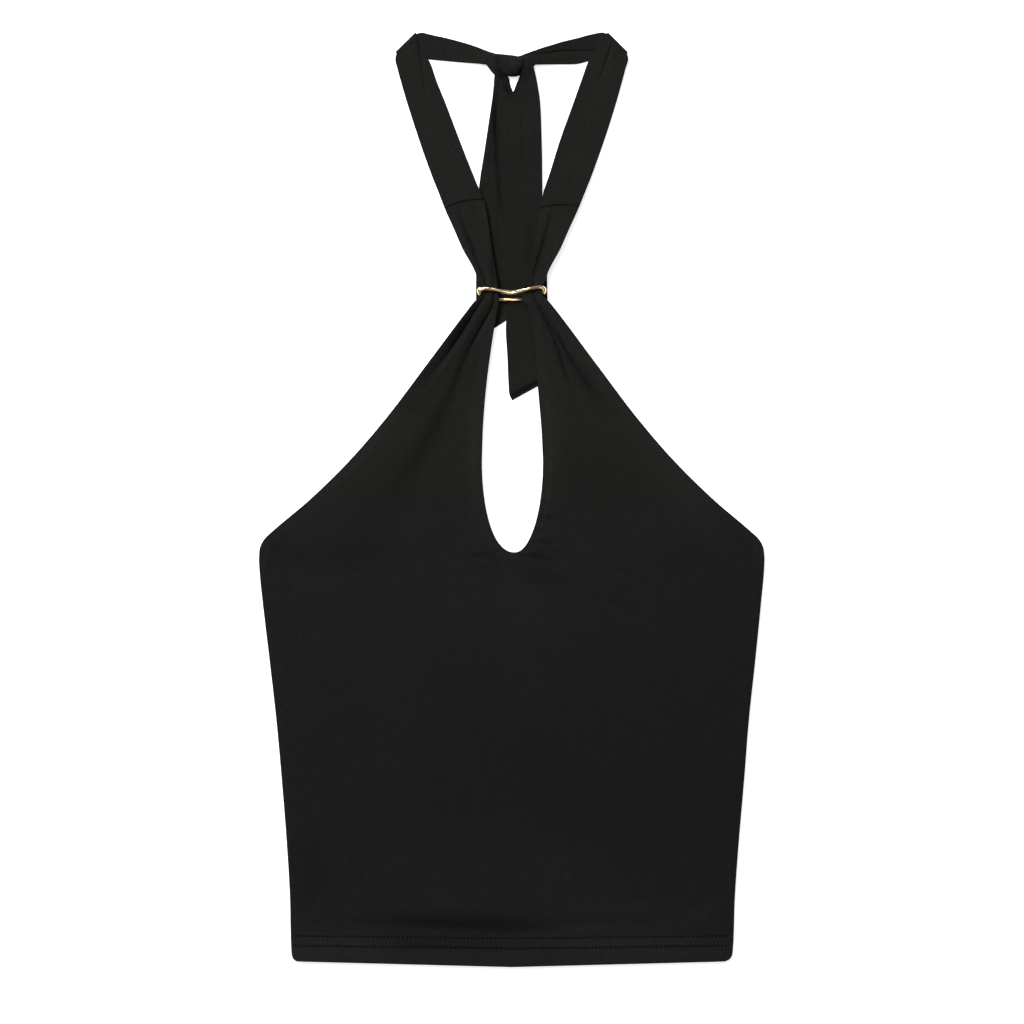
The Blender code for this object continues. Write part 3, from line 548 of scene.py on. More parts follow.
def inner_edge(side, up):
    """x of the centre line below the keyhole, and of the front's inner edge above."""
    up = np.asarray(up, float)
    above_end = np.clip(up - KEYHOLE_END, 0.0, None)
    centre = KEYHOLE_CENTRE + KEYHOLE_POINT_SHIFT * np.exp(-above_end / KEYHOLE_POINT_FADE)
    drop = np.clip((KEYHOLE_WIDEST - up) / (KEYHOLE_WIDEST - KEYHOLE_END), 0.0, 1.0)
    half = KEYHOLE_HALF_WIDTH * (1 - drop**KEYHOLE_ROUNDNESS) ** (1 / KEYHOLE_ROUNDNESS)
    rounded = centre + side * half
    straight = side * from_table(INNER_EDGE, 1 if side < 0 else 2, up)
    return np.where(up < KEYHOLE_WIDEST, rounded, straight)


def folds(x, up, tables, slits_only=False):
    """How far the gathers lower the cloth, or only the slits along their bottom."""
    drop = np.zeros_like(x)
    for table in tables.values():
        depth = from_table(table, 2, up)
        slit = from_table(table, 4, up)
        inside = (up > table[0][0]) & (up < table[-1][0])
        away = (x - from_table(table, 1, up)) / from_table(table, 3, up)
        shape = slit * np.exp(-(away / SLIT_WIDTH) ** 2)
        if not slits_only:
            shape = shape + depth * np.exp(-away**2)
        drop += np.where(inside, shape, 0.0)
    return drop


def creases(x, up, table):
    """How far a list of straight soft creases lowers the cloth."""
    drop = np.zeros_like(x)
    for x1, up1, x2, up2, depth, half_width in table:
        run_x = x2 - x1
        run_up = up2 - up1
        length = math.hypot(run_x, run_up)
        along = ((x - x1) * run_x + (up - up1) * run_up) / length**2
        across = ((up - up1) * run_x - (x - x1) * run_up) / length
        fade = np.sin(math.pi * np.clip(along, 0, 1)) ** 0.8
        drop += depth * fade * np.exp(-((across / half_width) ** 2))
    return drop


def undulation(x, up, seed):
    """Small uneven waves of cloth that lies loose."""
    z = np.zeros(x.size)
    for height, size in UNDULATION:
        for i, (px, pu) in enumerate(zip(x.flat, up.flat)):
            z[i] += height * noise.noise(Vector((px / size, pu / size, seed + size)))
    return z.reshape(x.shape)


def place(points):
    """Millimetres in the garment's own measure to metres about its middle."""
    return (np.asarray(points, float) - (0.0, LENGTH / 2, 0.0)) * MM


def rows_between(sections, steps):
    """Rows read from a smooth curve through the sections, with given steps in each."""
    table = np.array(sections, float)
    at = [i + k / n for i, n in enumerate(steps) for k in range(n)] + [len(sections) - 1]
    knots = np.arange(len(sections))
    return np.stack([smooth(knots, table[:, i], at) for i in range(table.shape[1])], axis=1)


def across_points(width, middle):
    """Shares of the way across a row, closer together near both edges."""
    edge = np.array(EDGE_COLUMNS) * min(1.0, width * EDGE_SHARE / EDGE_COLUMNS[-1])
    between = np.linspace(edge[-1], width - edge[-1], middle + 2)[1:-1]
    return np.concatenate([edge, between, width - edge[::-1]]) / width


def grid_faces(rows, columns, first=0, flip=False):
    r, c = np.meshgrid(np.arange(rows - 1), np.arange(columns - 1), indexing="ij")
    a = (first + r * columns + c).ravel()
    faces = np.stack([a, a + 1, a + 1 + columns, a + columns], axis=1)
    return faces[:, ::-1] if flip else faces


def normals_of(points, faces):
    corner = points[faces]
    face = np.cross(corner[:, 2] - corner[:, 0], corner[:, 3] - corner[:, 1])
    total = np.zeros_like(points)
    for k in range(4):
        np.add.at(total, faces[:, k], face)
    return total / np.maximum(np.linalg.norm(total, axis=1, keepdims=True), 1e-9)


def distance_to(lines, x, up):
    """Distance of each point from the nearest of some lines, all seen flat."""
    dots = []
    for line in lines:
        line = np.asarray(line, float)
        for start, end in zip(line[:-1], line[1:]):
            count = max(1, math.ceil(np.linalg.norm(end - start) / DOT_SPACING))
            dots.append(start + (end - start) * np.linspace(0, 1, count, endpoint=False)[:, None])
        dots.append(line[-1:])
    dots = np.vstack(dots)
    tree = kdtree.KDTree(len(dots))
    for i, dot in enumerate(dots):
        tree.insert((dot[0], dot[1], 0.0), i)
    tree.balance()
    found = [tree.find((px, pu, 0.0))[2] for px, pu in zip(x.flat, up.flat)]
    return np.array(found).reshape(x.shape)


def rounded(distance, half):
    """Half thickness near a turned edge, which is round."""
    inward = np.clip(distance / np.maximum(half, 1e-6), 0, 1)
    return half * np.sqrt(np.clip(1 - (1 - inward) ** 2, 0, 1))


def in_scene(name, data):
    made = bpy.data.objects.new(name, data)
    bpy.context.scene.collection.objects.link(made)
    return made


def finished(name, mesh, material):
    """Smooth shaded object of the mesh."""
    mesh.shade_smooth()
    mesh.materials.append(material)
    return in_scene(name, mesh)


def new_mesh(name, points, faces, grain=None, tone=None):
    """Mesh that may keep the cloth's own coordinates and its tone on its points."""
    mesh = bpy.data.meshes.new(name)
    mesh.from_pydata(place(points), [], faces)
    if grain is not None:
        along = mesh.attributes.new("grain", "FLOAT_VECTOR", "POINT")
        along.data.foreach_set("vector", np.asarray(grain, np.float32).ravel())
        shade = mesh.attributes.new("tone", "FLOAT", "POINT")
        shade.data.foreach_set("value", np.asarray(tone, np.float32).ravel())
    return mesh


def mesh_object(name, points, faces, material, grain, tone, merged=True):
    """Closed surface with its faces turned outward, and doubled points made one."""
    mesh = new_mesh(name, points, faces, grain, tone)
    work = bmesh.new()
    work.from_mesh(mesh)
    if merged:
        bmesh.ops.remove_doubles(work, verts=work.verts, dist=1e-6)
        bmesh.ops.dissolve_degenerate(work, edges=work.edges, dist=1e-7)
    bmesh.ops.recalc_face_normals(work, faces=work.faces)
    work.to_mesh(mesh)
    work.free()
    return finished(name, mesh, material)


def shell(name, points, faces, half, material, grain, tone):
    """Closed wall about a middle surface, never below the table."""
    offset = normals_of(points, faces) * half[:, None]
    upper = points + offset
    lower = points - offset
    upper[:, 2] = np.maximum(upper[:, 2], 0.0)
    lower[:, 2] = np.maximum(lower[:, 2], 0.0)
    both = np.vstack([faces, faces[:, ::-1] + len(points)]).tolist()
    walls = np.vstack([upper, lower])
    return mesh_object(name, walls, both, material, np.tile(grain, (2, 1)), np.tile(tone, 2))


def dress(piece, slot, *nodes):
    """The piece rides on the one body and stands for its solids."""
    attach(piece, BODY)
    if nodes:
        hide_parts(*nodes)
    return piece


def front_half(side):
    """Flat grid of one half of the front: x and height, hem to strap seam."""
    steps = []
    for low, high in zip(FRONT_SECTIONS[:-1], FRONT_SECTIONS[1:]):
        rise = max(high[0] - low[0], high[1] - low[1])
        steps.append(max(1, round(rise / low[2])))
    rows = rows_between([row[:2] for row in FRONT_SECTIONS], steps)
    grid = []
    for outer_up, inner_up in rows:
        start = np.array((outer_edge(side, outer_up), outer_up))
        end = np.array((inner_edge(side, inner_up), inner_up))
        u = across_points(np.linalg.norm(end - start), MIDDLE_COLUMNS)
        grid.append(start + (end - start) * u[:, None])
    _, outer_up, _, inner_up, arch = STRAP_SEAMS["left" if side < 0 else "right"]
    last = FRONT_SECTIONS[-1][0]
    for t in 1 - (1 - np.linspace(0, 1, SEAM_ROWS + 1)[1:]) ** SEAM_CROWDING:
        begin = outer_edge(side, last + (outer_up - last) * t)
        finish = inner_edge(side, last + (inner_up - last) * t)
        u = across_points(abs(finish - begin), MIDDLE_COLUMNS)
        seam = outer_up + (inner_up - outer_up) * u + arch * np.sin(math.pi * u) + SEAM_LAP
        grid.append(np.stack([begin + (finish - begin) * u, last + (seam - last) * t], axis=1))
    return np.array(grid), sum(steps[:KEYHOLE_SECTION])


def hem_row(index, x):
    return HEM_ROWS[index] - HEM_ROW_DROP * np.abs(x)


def hem_relief(x, up):
    """Thicker turned hem with a groove under each row of stitches."""
    bulk = HEM_BULK * ease((hem_row(1, x) - up) / HEM_BULK_FADE + 0.5)
    for index in range(len(HEM_ROWS)):
        bulk -= HEM_GROOVE * np.exp(-(((up - hem_row(index, x)) / HEM_GROOVE_WIDTH) ** 2))
    return bulk


def hem_shade(x, up):
    """Painted shade along each row of stitches, and painted light on the edge below them."""
    shade = np.zeros_like(x)
    for index in range(len(HEM_ROWS)):
        below = hem_row(index, x) - up
        shade += HEM_GROOVE_SHADE * np.exp(-((below / HEM_GROOVE_WIDTH) ** 2))
        shade -= HEM_EDGE_PAINTED_LIGHT * ease(below - HEM_EDGE_FROM)
    return shade


def front_height(x, up, side_distance, band_distance):
    """Middle of the front wall above the table, with every fold and crease."""
    reach = np.where(x < 0, -outer_edge(-1, up), outer_edge(1, up))
    middle = 1 - np.clip(np.abs(x) / reach, 0, 1) ** 4
    z = from_table(FRONT_LIFT, 1, up) + from_table(FRONT_LIFT, 2, up) * middle
    z -= folds(x, up, FRONT_FOLDS)
    z -= creases(x, up, FRONT_CREASES)
    z += hem_relief(x, up)
    z += BAND_RISE * ease(1 - (band_distance - BAND_WIDTH + BAND_SOFTNESS))
    in_groove = (band_distance - BAND_WIDTH - BAND_GROOVE_AT) / BAND_GROOVE_WIDTH
    z -= BAND_GROOVE * np.exp(-(in_groove**2))
    loose = ease(side_distance / LOOSE_FROM_SIDE) * ease((LOOSE_TOP - up) / LOOSE_FADE)
    z += undulation(x, up, 1.0) * loose
    beside = ease((SIDE_SEAM_TOP - up) / SIDE_SEAM_FADE) * np.exp(-side_distance / SIDE_SEAM_ROLL)
    return z + (SIDE_SEAM_HEIGHT - z) * beside


def bend_hem(x, up):
    return up + HEM_RISE * np.abs(x) * np.clip(1 - up / HEM_RISE_FADE, 0, 1)


def front_cloth(material):
    left, keyhole_row = front_half(-1)
    right, _ = front_half(1)
    shared = (left[: keyhole_row + 1, -1] + right[: keyhole_row + 1, -1]) / 2
    left[: keyhole_row + 1, -1] = shared
    right[: keyhole_row + 1, -1] = shared
    rows, columns, _ = left.shape
    x = np.stack([left[:, :, 0], right[:, :, 0]])
    up = np.stack([left[:, :, 1], right[:, :, 1]])
    sides = [half[half[:, 0, 1] <= SIDE_SEAM_TOP, 0] for half in (left, right)]
    turned = [half[keyhole_row:, -1] for half in (left, right)]
    turned += [half[half[:, 0, 1] >= SIDE_SEAM_TOP, 0] for half in (left, right)]
    hem = [left[0], right[0]]
    seams = [left[-1], right[-1]]
    side_distance = distance_to(sides, x, up)
    band_distance = distance_to(turned, x, up)
    seam_distance = distance_to(seams, x, up)
    z = front_height(x, up, side_distance, band_distance)
    nearest = np.minimum(np.minimum(side_distance, band_distance), distance_to(hem, x, up))
    half = rounded(np.minimum(nearest, seam_distance), HALF_WALL)
    # The tone carries painted light and shade: a paler hem, chest and band, darker rims, seams,
    # slits and stitch grooves, and the listed shades
    tone = from_table(FRONT_PAINTED_LIGHT, 1, up) + BAND_TONE * ease((BAND_WIDTH - band_distance) / 2)
    rim = RIM_SHADE * ease(1 - nearest / RIM_WIDTH)
    tone -= rim + SEAM_SHADE * ease(1 - seam_distance / SEAM_SHADE_WIDTH)
    tone -= SLIT_SHADE * np.clip(folds(x, up, FRONT_FOLDS, True), 0, 1.5)
    tone -= hem_shade(x, up) + creases(x, up, FRONT_SHADES)
    tone = np.clip(tone, *TONE_LIMITS)
    points = np.stack([x, bend_hem(x, up), z], axis=3).reshape(-1, 3)
    mirrored = grid_faces(rows, columns, rows * columns, True)
    faces = np.vstack([grid_faces(rows, columns), mirrored])
    grain = np.stack([x * MM, up * MM, z * 0], axis=3).reshape(-1, 3)
    points, faces, grain, half, tone = joined(points, faces, grain, half.ravel(), tone.ravel())
    return shell("front_cloth", points, faces, half, material, grain, tone)


def joined(points, faces, *values):
    """Middle surface with points that lie in one place made one."""
    near = np.round(points, 4)
    _, first, same = np.unique(near, axis=0, return_index=True, return_inverse=True)
    faces = same.ravel()[faces]
    grain, half, tone = (value[first] for value in values)
    return points[first], faces, grain, half, tone


def back_cloth(material):
    t = np.linspace(-1, 1, BACK_ROWS)
    heights = (t * (1 + BACK_CROWDING - BACK_CROWDING * t**2) + 1) / 2 * BACK_TOP
    grid = []
    for row_up in heights:
        start = outer_edge(-1, row_up)
        end = outer_edge(1, row_up)
        u = across_points(end - start, BACK_MIDDLE_COLUMNS)
        row_x = start + (end - start) * u
        dip = BACK_DIP * (row_up / BACK_TOP) ** 3 * np.cos((2 * u - 1) * math.pi / 2)
        grid.append(np.stack([row_x, row_up - dip], axis=1))
    grid = np.array(grid)
    x = grid[:, :, 0]
    up = grid[:, :, 1]
    side_distance = distance_to([grid[:, 0], grid[:, -1]], x, up)
    end_distance = distance_to([grid[0], grid[-1]], x, up)
    half = rounded(np.minimum(side_distance, end_distance), HALF_WALL)
    roll = np.exp(-side_distance / SIDE_SEAM_ROLL)
    z = LYING + (SIDE_SEAM_HEIGHT - BACK_SEAM_GAP - LYING) * roll
    points = np.stack([x, bend_hem(x, up), z], axis=2).reshape(-1, 3)
    grain = np.stack([x * MM, up * MM, x * 0], axis=2).reshape(-1, 3)
    faces = grid_faces(*x.shape)
    return shell("back_cloth", points, faces, half.ravel(), material, grain, np.ones(x.size))


def ribbon(name, rows, middle, crease_of, shades, material, arch=None):
    """Cloth strip with round edges. Each row: both edges, middle height and wall."""
    grid = []
    grain = []
    half = []
    tone = []
    centre = (rows[:, 0:2] + rows[:, 2:4]) / 2
    travel = np.concatenate([[0], np.cumsum(np.linalg.norm(np.diff(centre, axis=0), axis=1))])
    for index, row in enumerate(rows):
        start = row[0:2]
        end = row[2:4]
        width = np.linalg.norm(end - start)
        u = across_points(width, middle)
        flat = start + (end - start) * u[:, None]
        if arch is not None:
            flat[:, 1] += arch * np.sin(math.pi * u) * math.exp(-travel[index] / STRAP_ARCH_FADE)
        z = row[4] - crease_of(index, flat[:, 0], flat[:, 1])
        grid.append(np.column_stack([flat, z]))
        grain.append(np.column_stack([u * width, np.full(len(u), travel[index]), u * 0]) * MM)
        from_side = np.minimum(u, 1 - u) * width
        from_end = min(travel[index], travel[-1] - travel[index])
        half.append(rounded(np.minimum(from_side, from_end), row[5] / 2))
        # Painted shade at the rims, the seam and the listed shades; painted light where a share is
        # negative
        rim = RIM_SHADE * ease(1 - from_side / RIM_WIDTH)
        if arch is not None:
            rim = rim + SEAM_SHADE * ease(1 - travel[index] / SEAM_SHADE_WIDTH)
        shade = rim + creases(flat[:, 0], flat[:, 1], shades)
        tone.append(np.clip(STRAP_TONE - shade, *TONE_LIMITS))
    grid = np.array(grid)
    faces = grid_faces(*grid.shape[:2])
    points = grid.reshape(-1, 3)
    half = np.concatenate(half)
    return shell(name, points, faces, half, material, np.vstack(grain), np.concatenate(tone))


def step_counts(sections, step):
    counts = []
    for low, high in zip(sections[:-1], sections[1:]):
        reach = max(math.dist(low[0:2], high[0:2]), math.dist(low[2:4], high[2:4]))
        counts.append(max(2, round(reach / step)))
    return counts


def with_ends(rows):
    """Adds closely spaced rows at both ends, for the round end of the strip."""

    def near(first, second):
        length = np.linalg.norm((second[0:2] + second[2:4] - first[0:2] - first[2:4]) / 2)
        return [first + (second - first) * min(d / length, 0.9) for d in EDGE_COLUMNS[1:5]]

    head = near(rows[0], rows[1])
    foot = near(rows[-1], rows[-2])[::-1]
    return np.vstack([rows[:1], head, rows[1:-1], foot, rows[-1:]])


def strap_cloth(side, material):
    """Strap from its seam up, over the fold line and back to the knot."""
    outer_x, outer_up, inner_x, inner_up, arch = STRAP_SEAMS[side]
    seam_height = FRONT_LIFT[-1][1]
    seam = (outer_x, outer_up - SEAM_LAP, inner_x, inner_up - SEAM_LAP, seam_height)
    fold = STRAP_FOLD[side]
    front = (seam,) + STRAP_FRONT[side] + (fold + (UPPER,),)
    front = [tuple(row) + (WALL,) for row in front]
    upper = rows_between(front, step_counts(front, STRAP_STEP))
    along = np.array((fold[2] - fold[0], fold[3] - fold[1]))
    outward = np.array((-along[1], along[0])) / np.linalg.norm(along)
    if outward[1] < 0:
        outward = -outward
    radius = (UPPER - LYING) / 2
    turn = []
    for angle in np.linspace(math.pi / 2, -math.pi / 2, FOLD_STEPS + 2)[1:-1]:
        dx, dy = outward * radius * math.cos(angle)
        height = (UPPER + LYING) / 2 + radius * math.sin(angle)
        turn.append((fold[0] + dx, fold[1] + dy, fold[2] + dx, fold[3] + dy, height, WALL))
    back = (fold + (LYING, WALL),) + STRAP_BACK[side]
    lower = rows_between(back, step_counts(back, STRAP_STEP))
    rows = with_ends(np.vstack([upper, turn, lower]))
    last_upper = len(upper) + 4

    def crease_of(index, x, up):
        run = "front" if index < last_upper else "back"
        return creases(x, up, STRAP_CREASES[side][run])

    name = "strap_" + side + "_cloth"
    shades = STRAP_SHADES[side]
    return ribbon(name, rows, STRAP_MIDDLE_COLUMNS, crease_of, shades, material, arch)


def tail_cloth(side, sections, material):
    rows = with_ends(rows_between(sections, step_counts(sections, TAIL_STEP)))

    def crease_of(_, x, up):
        return creases(x, up, TAIL_CREASES[side])

    name = "tail_" + side + "_cloth"
    shades = TAIL_SHADES[side]
    return ribbon(name, rows, TAIL_MIDDLE_COLUMNS, crease_of, shades, material)


def tube_faces(count, sides, first=0, closed=False):
    """Faces between rings of points. A closed tube also joins its last to its first."""
    faces = []
    for r in range(count if closed else count - 1):
        here = first + r * sides
        there = first + (r + 1) % count * sides
        for k in range(sides):
            m = (k + 1) % sides
            faces.append((here + k, here + m, there + m, there + k))
    return faces


def wound_tube(sections, crease_table, shade_table):
    """Closed tube of flattened sections, left to right: points, faces, grain, tone."""
    rows = rows_between(sections, [KNOT_STEPS] * (len(sections) - 1))
    angle = np.linspace(0, 2 * math.pi, KNOT_SIDES, endpoint=False)
    points = []
    grain = []
    for row in rows:
        low = np.array((row[0], row[1], row[4]))
        high = np.array((row[2], row[3], row[4]))
        loop = (low + high) / 2 + (high - low) / 2 * np.cos(angle)[:, None]
        loop[:, 2] += row[5] * np.sin(angle)
        facing = np.clip(np.sin(angle), 0, 1)
        loop[:, 2] -= creases(loop[:, 0], loop[:, 1], crease_table) * facing**0.5
        loop[:, 2] = np.maximum(loop[:, 2], 0.0)
        points.append(loop)
        round_way = (high[1] - low[1] + row[5]) * angle / 2
        grain.append(np.column_stack([round_way, np.full(KNOT_SIDES, row[0]), angle * 0]) * MM)
    faces = tube_faces(len(rows), KNOT_SIDES)
    count = len(rows) * KNOT_SIDES
    faces.append(tuple(range(KNOT_SIDES)))
    faces.append(tuple(range(count - KNOT_SIDES, count)))
    points = np.vstack(points)
    # Painted shade in the knot's dark parts, and painted light where a share is negative
    tone = np.clip(1 - creases(points[:, 0], points[:, 1], shade_table), *TONE_LIMITS)
    return points, faces, np.vstack(grain), tone


def knot_cloth(material):
    core, core_faces, core_grain, core_tone = wound_tube(KNOT_CORE, (), KNOT_CORE_SHADES)
    wound = wound_tube(KNOT_BAND, KNOT_CREASES, KNOT_BAND_SHADES)
    band, band_faces, band_grain, band_tone = wound
    points = np.vstack([core, band])
    faces = core_faces + [tuple(i + len(core) for i in face) for face in band_faces]
    grain = np.vstack([core_grain, band_grain])
    tone = np.concatenate([core_tone, band_tone])
    made = mesh_object("knot_cloth", points, faces, material, grain, tone, merged=False)
    made.data.set_sharp_from_angle(angle=math.radians(60))
    return made


def loop_points(points, count):
    """Evenly stepped rows on a closed smooth curve through the given ones."""
    knots = np.array(points, float)
    total = len(knots)
    fine = []
    for i in range(total):
        p0, p1, p2, p3 = (knots[(i + k) % total] for k in (-1, 0, 1, 2))
        for t in np.linspace(0, 1, RING_FINE_STEPS, endpoint=False):
            squared = (2 * p0 - 5 * p1 + 4 * p2 - p3) * t**2
            cubed = (3 * p1 - p0 - 3 * p2 + p3) * t**3
            fine.append((2 * p1 + (p2 - p0) * t + squared + cubed) / 2)
    fine = np.array(fine + [fine[0]])
    stretch = np.linalg.norm(np.diff(fine[:, :3], axis=0), axis=1)
    length = np.concatenate([[0], np.cumsum(stretch)])
    at = np.linspace(0, length[-1], count, endpoint=False)
    return np.stack([np.interp(at, length, measure) for measure in fine.T], axis=1)


def tube_rings(path, radius, sides, around, flatness=1.0):
    """Rings of points about a path, with spokes that start along around."""
    forward = np.gradient(path, axis=0)
    forward /= np.linalg.norm(forward, axis=1, keepdims=True)
    spoke = around - forward * np.sum(around * forward, axis=1, keepdims=True)
    spoke /= np.linalg.norm(spoke, axis=1, keepdims=True)
    aside = np.cross(forward, spoke)
    angle = np.linspace(0, 2 * math.pi, sides, endpoint=False)[None, :, None]
    ring = spoke[:, None] * np.cos(angle) * flatness + aside[:, None] * np.sin(angle)
    return path[:, None] + ring * np.asarray(radius)[:, None, None]


def ring_wire(material):
    """Slightly flat wire in a closed loop: wavy bar in front, straight bar behind."""
    rows = loop_points(RING_PATH, RING_STEPS)
    path = rows[:, :3]
    wrapped = np.vstack([path[-1:], path, path[:1]])
    outward = (wrapped - path.mean(axis=0)) * (1.0, 0.0, 1.0)
    radius = np.concatenate([rows[-1:, 3], rows[:, 3], rows[:1, 3]]) / 2
    rings = tube_rings(wrapped, radius, RING_SIDES, outward, RING_FLATNESS)
    points = rings[1:-1].reshape(-1, 3)
    faces = tube_faces(RING_STEPS, RING_SIDES, closed=True)
    blank = np.zeros((len(points), 3))
    # Painted shade on the wire, from RING_SHADES
    tone = np.clip(1 - creases(points[:, 0], points[:, 1], RING_SHADES), TONE_LIMITS[0], 1)
    return mesh_object("ring_wire", points, faces, material, blank, tone)


def stitch(start, end, lift):
    """One thread: a short bowed tube with round ends."""
    share = np.array((0.0, 0.06, 0.2, 0.5, 0.8, 0.94, 1.0))
    size = np.array((0.15, 0.7, 1.0, 1.0, 1.0, 0.7, 0.15))
    path = start + (end - start) * share[:, None]
    path[:, 2] += lift * np.sin(math.pi * share)
    around = np.tile((0.0, 0.0, 1.0), (len(share), 1))
    return tube_rings(path, size * STITCH_RADIUS, 6, around)


def stitches(name, threads, material):
    """All threads of one seam as one mesh."""
    points = []
    faces = []
    for start, end, lift in threads:
        rings = stitch(np.array(start, float), np.array(end, float), lift)
        count, sides = rings.shape[:2]
        first = len(points) * count * sides
        last = first + (count - 1) * sides
        faces += tube_faces(count, sides, first)
        faces.append(tuple(range(first, first + sides))[::-1])
        faces.append(tuple(range(last, last + sides)))
        points.append(rings.reshape(-1, 3))
    return finished(name, new_mesh(name, np.vstack(points), faces), material)


def surface_height(x, up):
    """Top of the front cloth at a few points near the hem, away from the sides."""
    x = np.asarray(x, float)
    up = np.asarray(up, float)
    far = np.full(x.shape, 99.0)
    sides = STITCH_END + HEM_PAST_STITCHES - np.abs(x)
    return front_height(x, up, sides, far) + HALF_WALL


def hem_threads(shift, length, drop, lift, bow):
    """A short run at every stitch of both hem rows: its ends, and how far it bows."""
    threads = []
    for index in range(len(HEM_ROWS)):
        for i in range(int(2 * STITCH_END / STITCH_PITCH)):
            start = -STITCH_END + (i + shift + ROW_STAGGER * index) * STITCH_PITCH
            x = np.array((start, start + length))
            up = hem_row(index, x) - np.array(drop)
            ends = np.stack([x, bend_hem(x, up), surface_height(x, up) + lift], axis=1)
            threads.append((ends[0], ends[1], bow))
    return threads


def hem_stitches(material):
    threads = hem_threads(0, STITCH_LENGTH, (0, 0), STITCH_LIFT, STITCH_BOW)
    return stitches("hem_stitches", threads, material)


def hem_puffs(material):
    """Cloth that bulges up between the stitches of the hem."""
    threads = hem_threads(PUFF_SHIFT, PUFF_LENGTH, PUFF_DROP, PUFF_LIFT, PUFF_BOW)
    return stitches("hem_puffs", threads, material)


def seam_stitches(side, material):
    """Small crossing threads along the seam between arm and strap."""
    outer_x, outer_up, inner_x, inner_up, arch = STRAP_SEAMS[side]
    count = int(abs(outer_x - inner_x) / SEAM_STITCH_PITCH)
    across, rise = SEAM_STITCH_REACH
    z = FRONT_LIFT[-1][1] + HALF_WALL
    threads = []
    for i in range(count):
        u = (i + 0.5) / count
        x = outer_x + (inner_x - outer_x) * u
        up = outer_up + (inner_up - outer_up) * u + arch * math.sin(math.pi * u)
        start = (x - across, up - rise, z)
        end = (x + across, up + rise, z)
        threads.append((start, end, SEAM_STITCH_BOW))
    return stitches("seam_stitches_" + side, threads, material)


class Nodes:
    """Short way to add and link the shader nodes of a material or the world."""

    def __init__(self, holder, shader="Principled BSDF"):
        self.holder = holder
        self.holder.use_nodes = True
        self.tree = holder.node_tree
        self.shader = self.tree.nodes[shader]

    def set(self, *constants):
        for socket, value in constants:
            self.shader.inputs[socket].default_value = value

    def add(self, kind, **settings):
        node = self.tree.nodes.new("ShaderNode" + kind)
        for key, value in settings.items():
            setattr(node, key, value)
        return node

    def link(self, output, target):
        self.tree.links.new(output, target)

    def math(self, operation, first, second=None, third=None):
        node = self.add("Math", operation=operation)
        for socket, value in zip(node.inputs, (first, second, third)):
            if value is None:
                continue
            if isinstance(value, (int, float)):
                socket.default_value = value
            else:
                self.link(value, socket)
        return node.outputs[0]

    def split(self, vector):
        node = self.add("SeparateXYZ")
        self.link(vector, node.inputs[0])
        return node.outputs

    def bump(self, height, strength, depth):
        node = self.add("Bump")
        node.inputs["Strength"].default_value = strength
        node.inputs["Distance"].default_value = depth * MM
        self.link(height, node.inputs["Height"])
        self.link(node.outputs[0], self.shader.inputs["Normal"])

    def tint(self, level, colour):
        """Base colour: a colour, or another node's, times a level."""
        node = self.add("Mix", data_type="RGBA", blend_type="MULTIPLY")
        node.inputs["Factor"].default_value = 1.0
        if isinstance(colour, tuple):
            node.inputs["A"].default_value = (*colour, 1.0)
        else:
            self.link(colour, node.inputs["A"])
        self.link(level, node.inputs["B"])
        self.link(node.outputs["Result"], self.shader.inputs["Base Color"])

    def noise(self, vector, scale, detail=2.0):
        node = self.add("TexNoise")
        node.inputs["Scale"].default_value = scale
        node.inputs["Detail"].default_value = detail
        self.link(vector, node.inputs["Vector"])
        return node.outputs["Fac"]


def knit_height(nodes, grain):
    """Columns of V stitches, from the cloth's own coordinates in metres."""
    across = nodes.math("MULTIPLY", grain[0], 1 / (WALE * MM))
    along = nodes.math("MULTIPLY", grain[1], 1 / (COURSE * MM))
    lean = nodes.math("PINGPONG", across, 0.5)
    slanted = nodes.math("MULTIPLY_ADD", lean, KNIT_SLANT, along)
    turn = nodes.math("MULTIPLY", slanted, 2 * math.pi)
    strand = nodes.math("SINE", turn)
    valley = nodes.math("MULTIPLY", lean, 4 * math.pi)
    wale = nodes.math("COSINE", valley)
    return nodes.math("SUBTRACT", strand, wale)


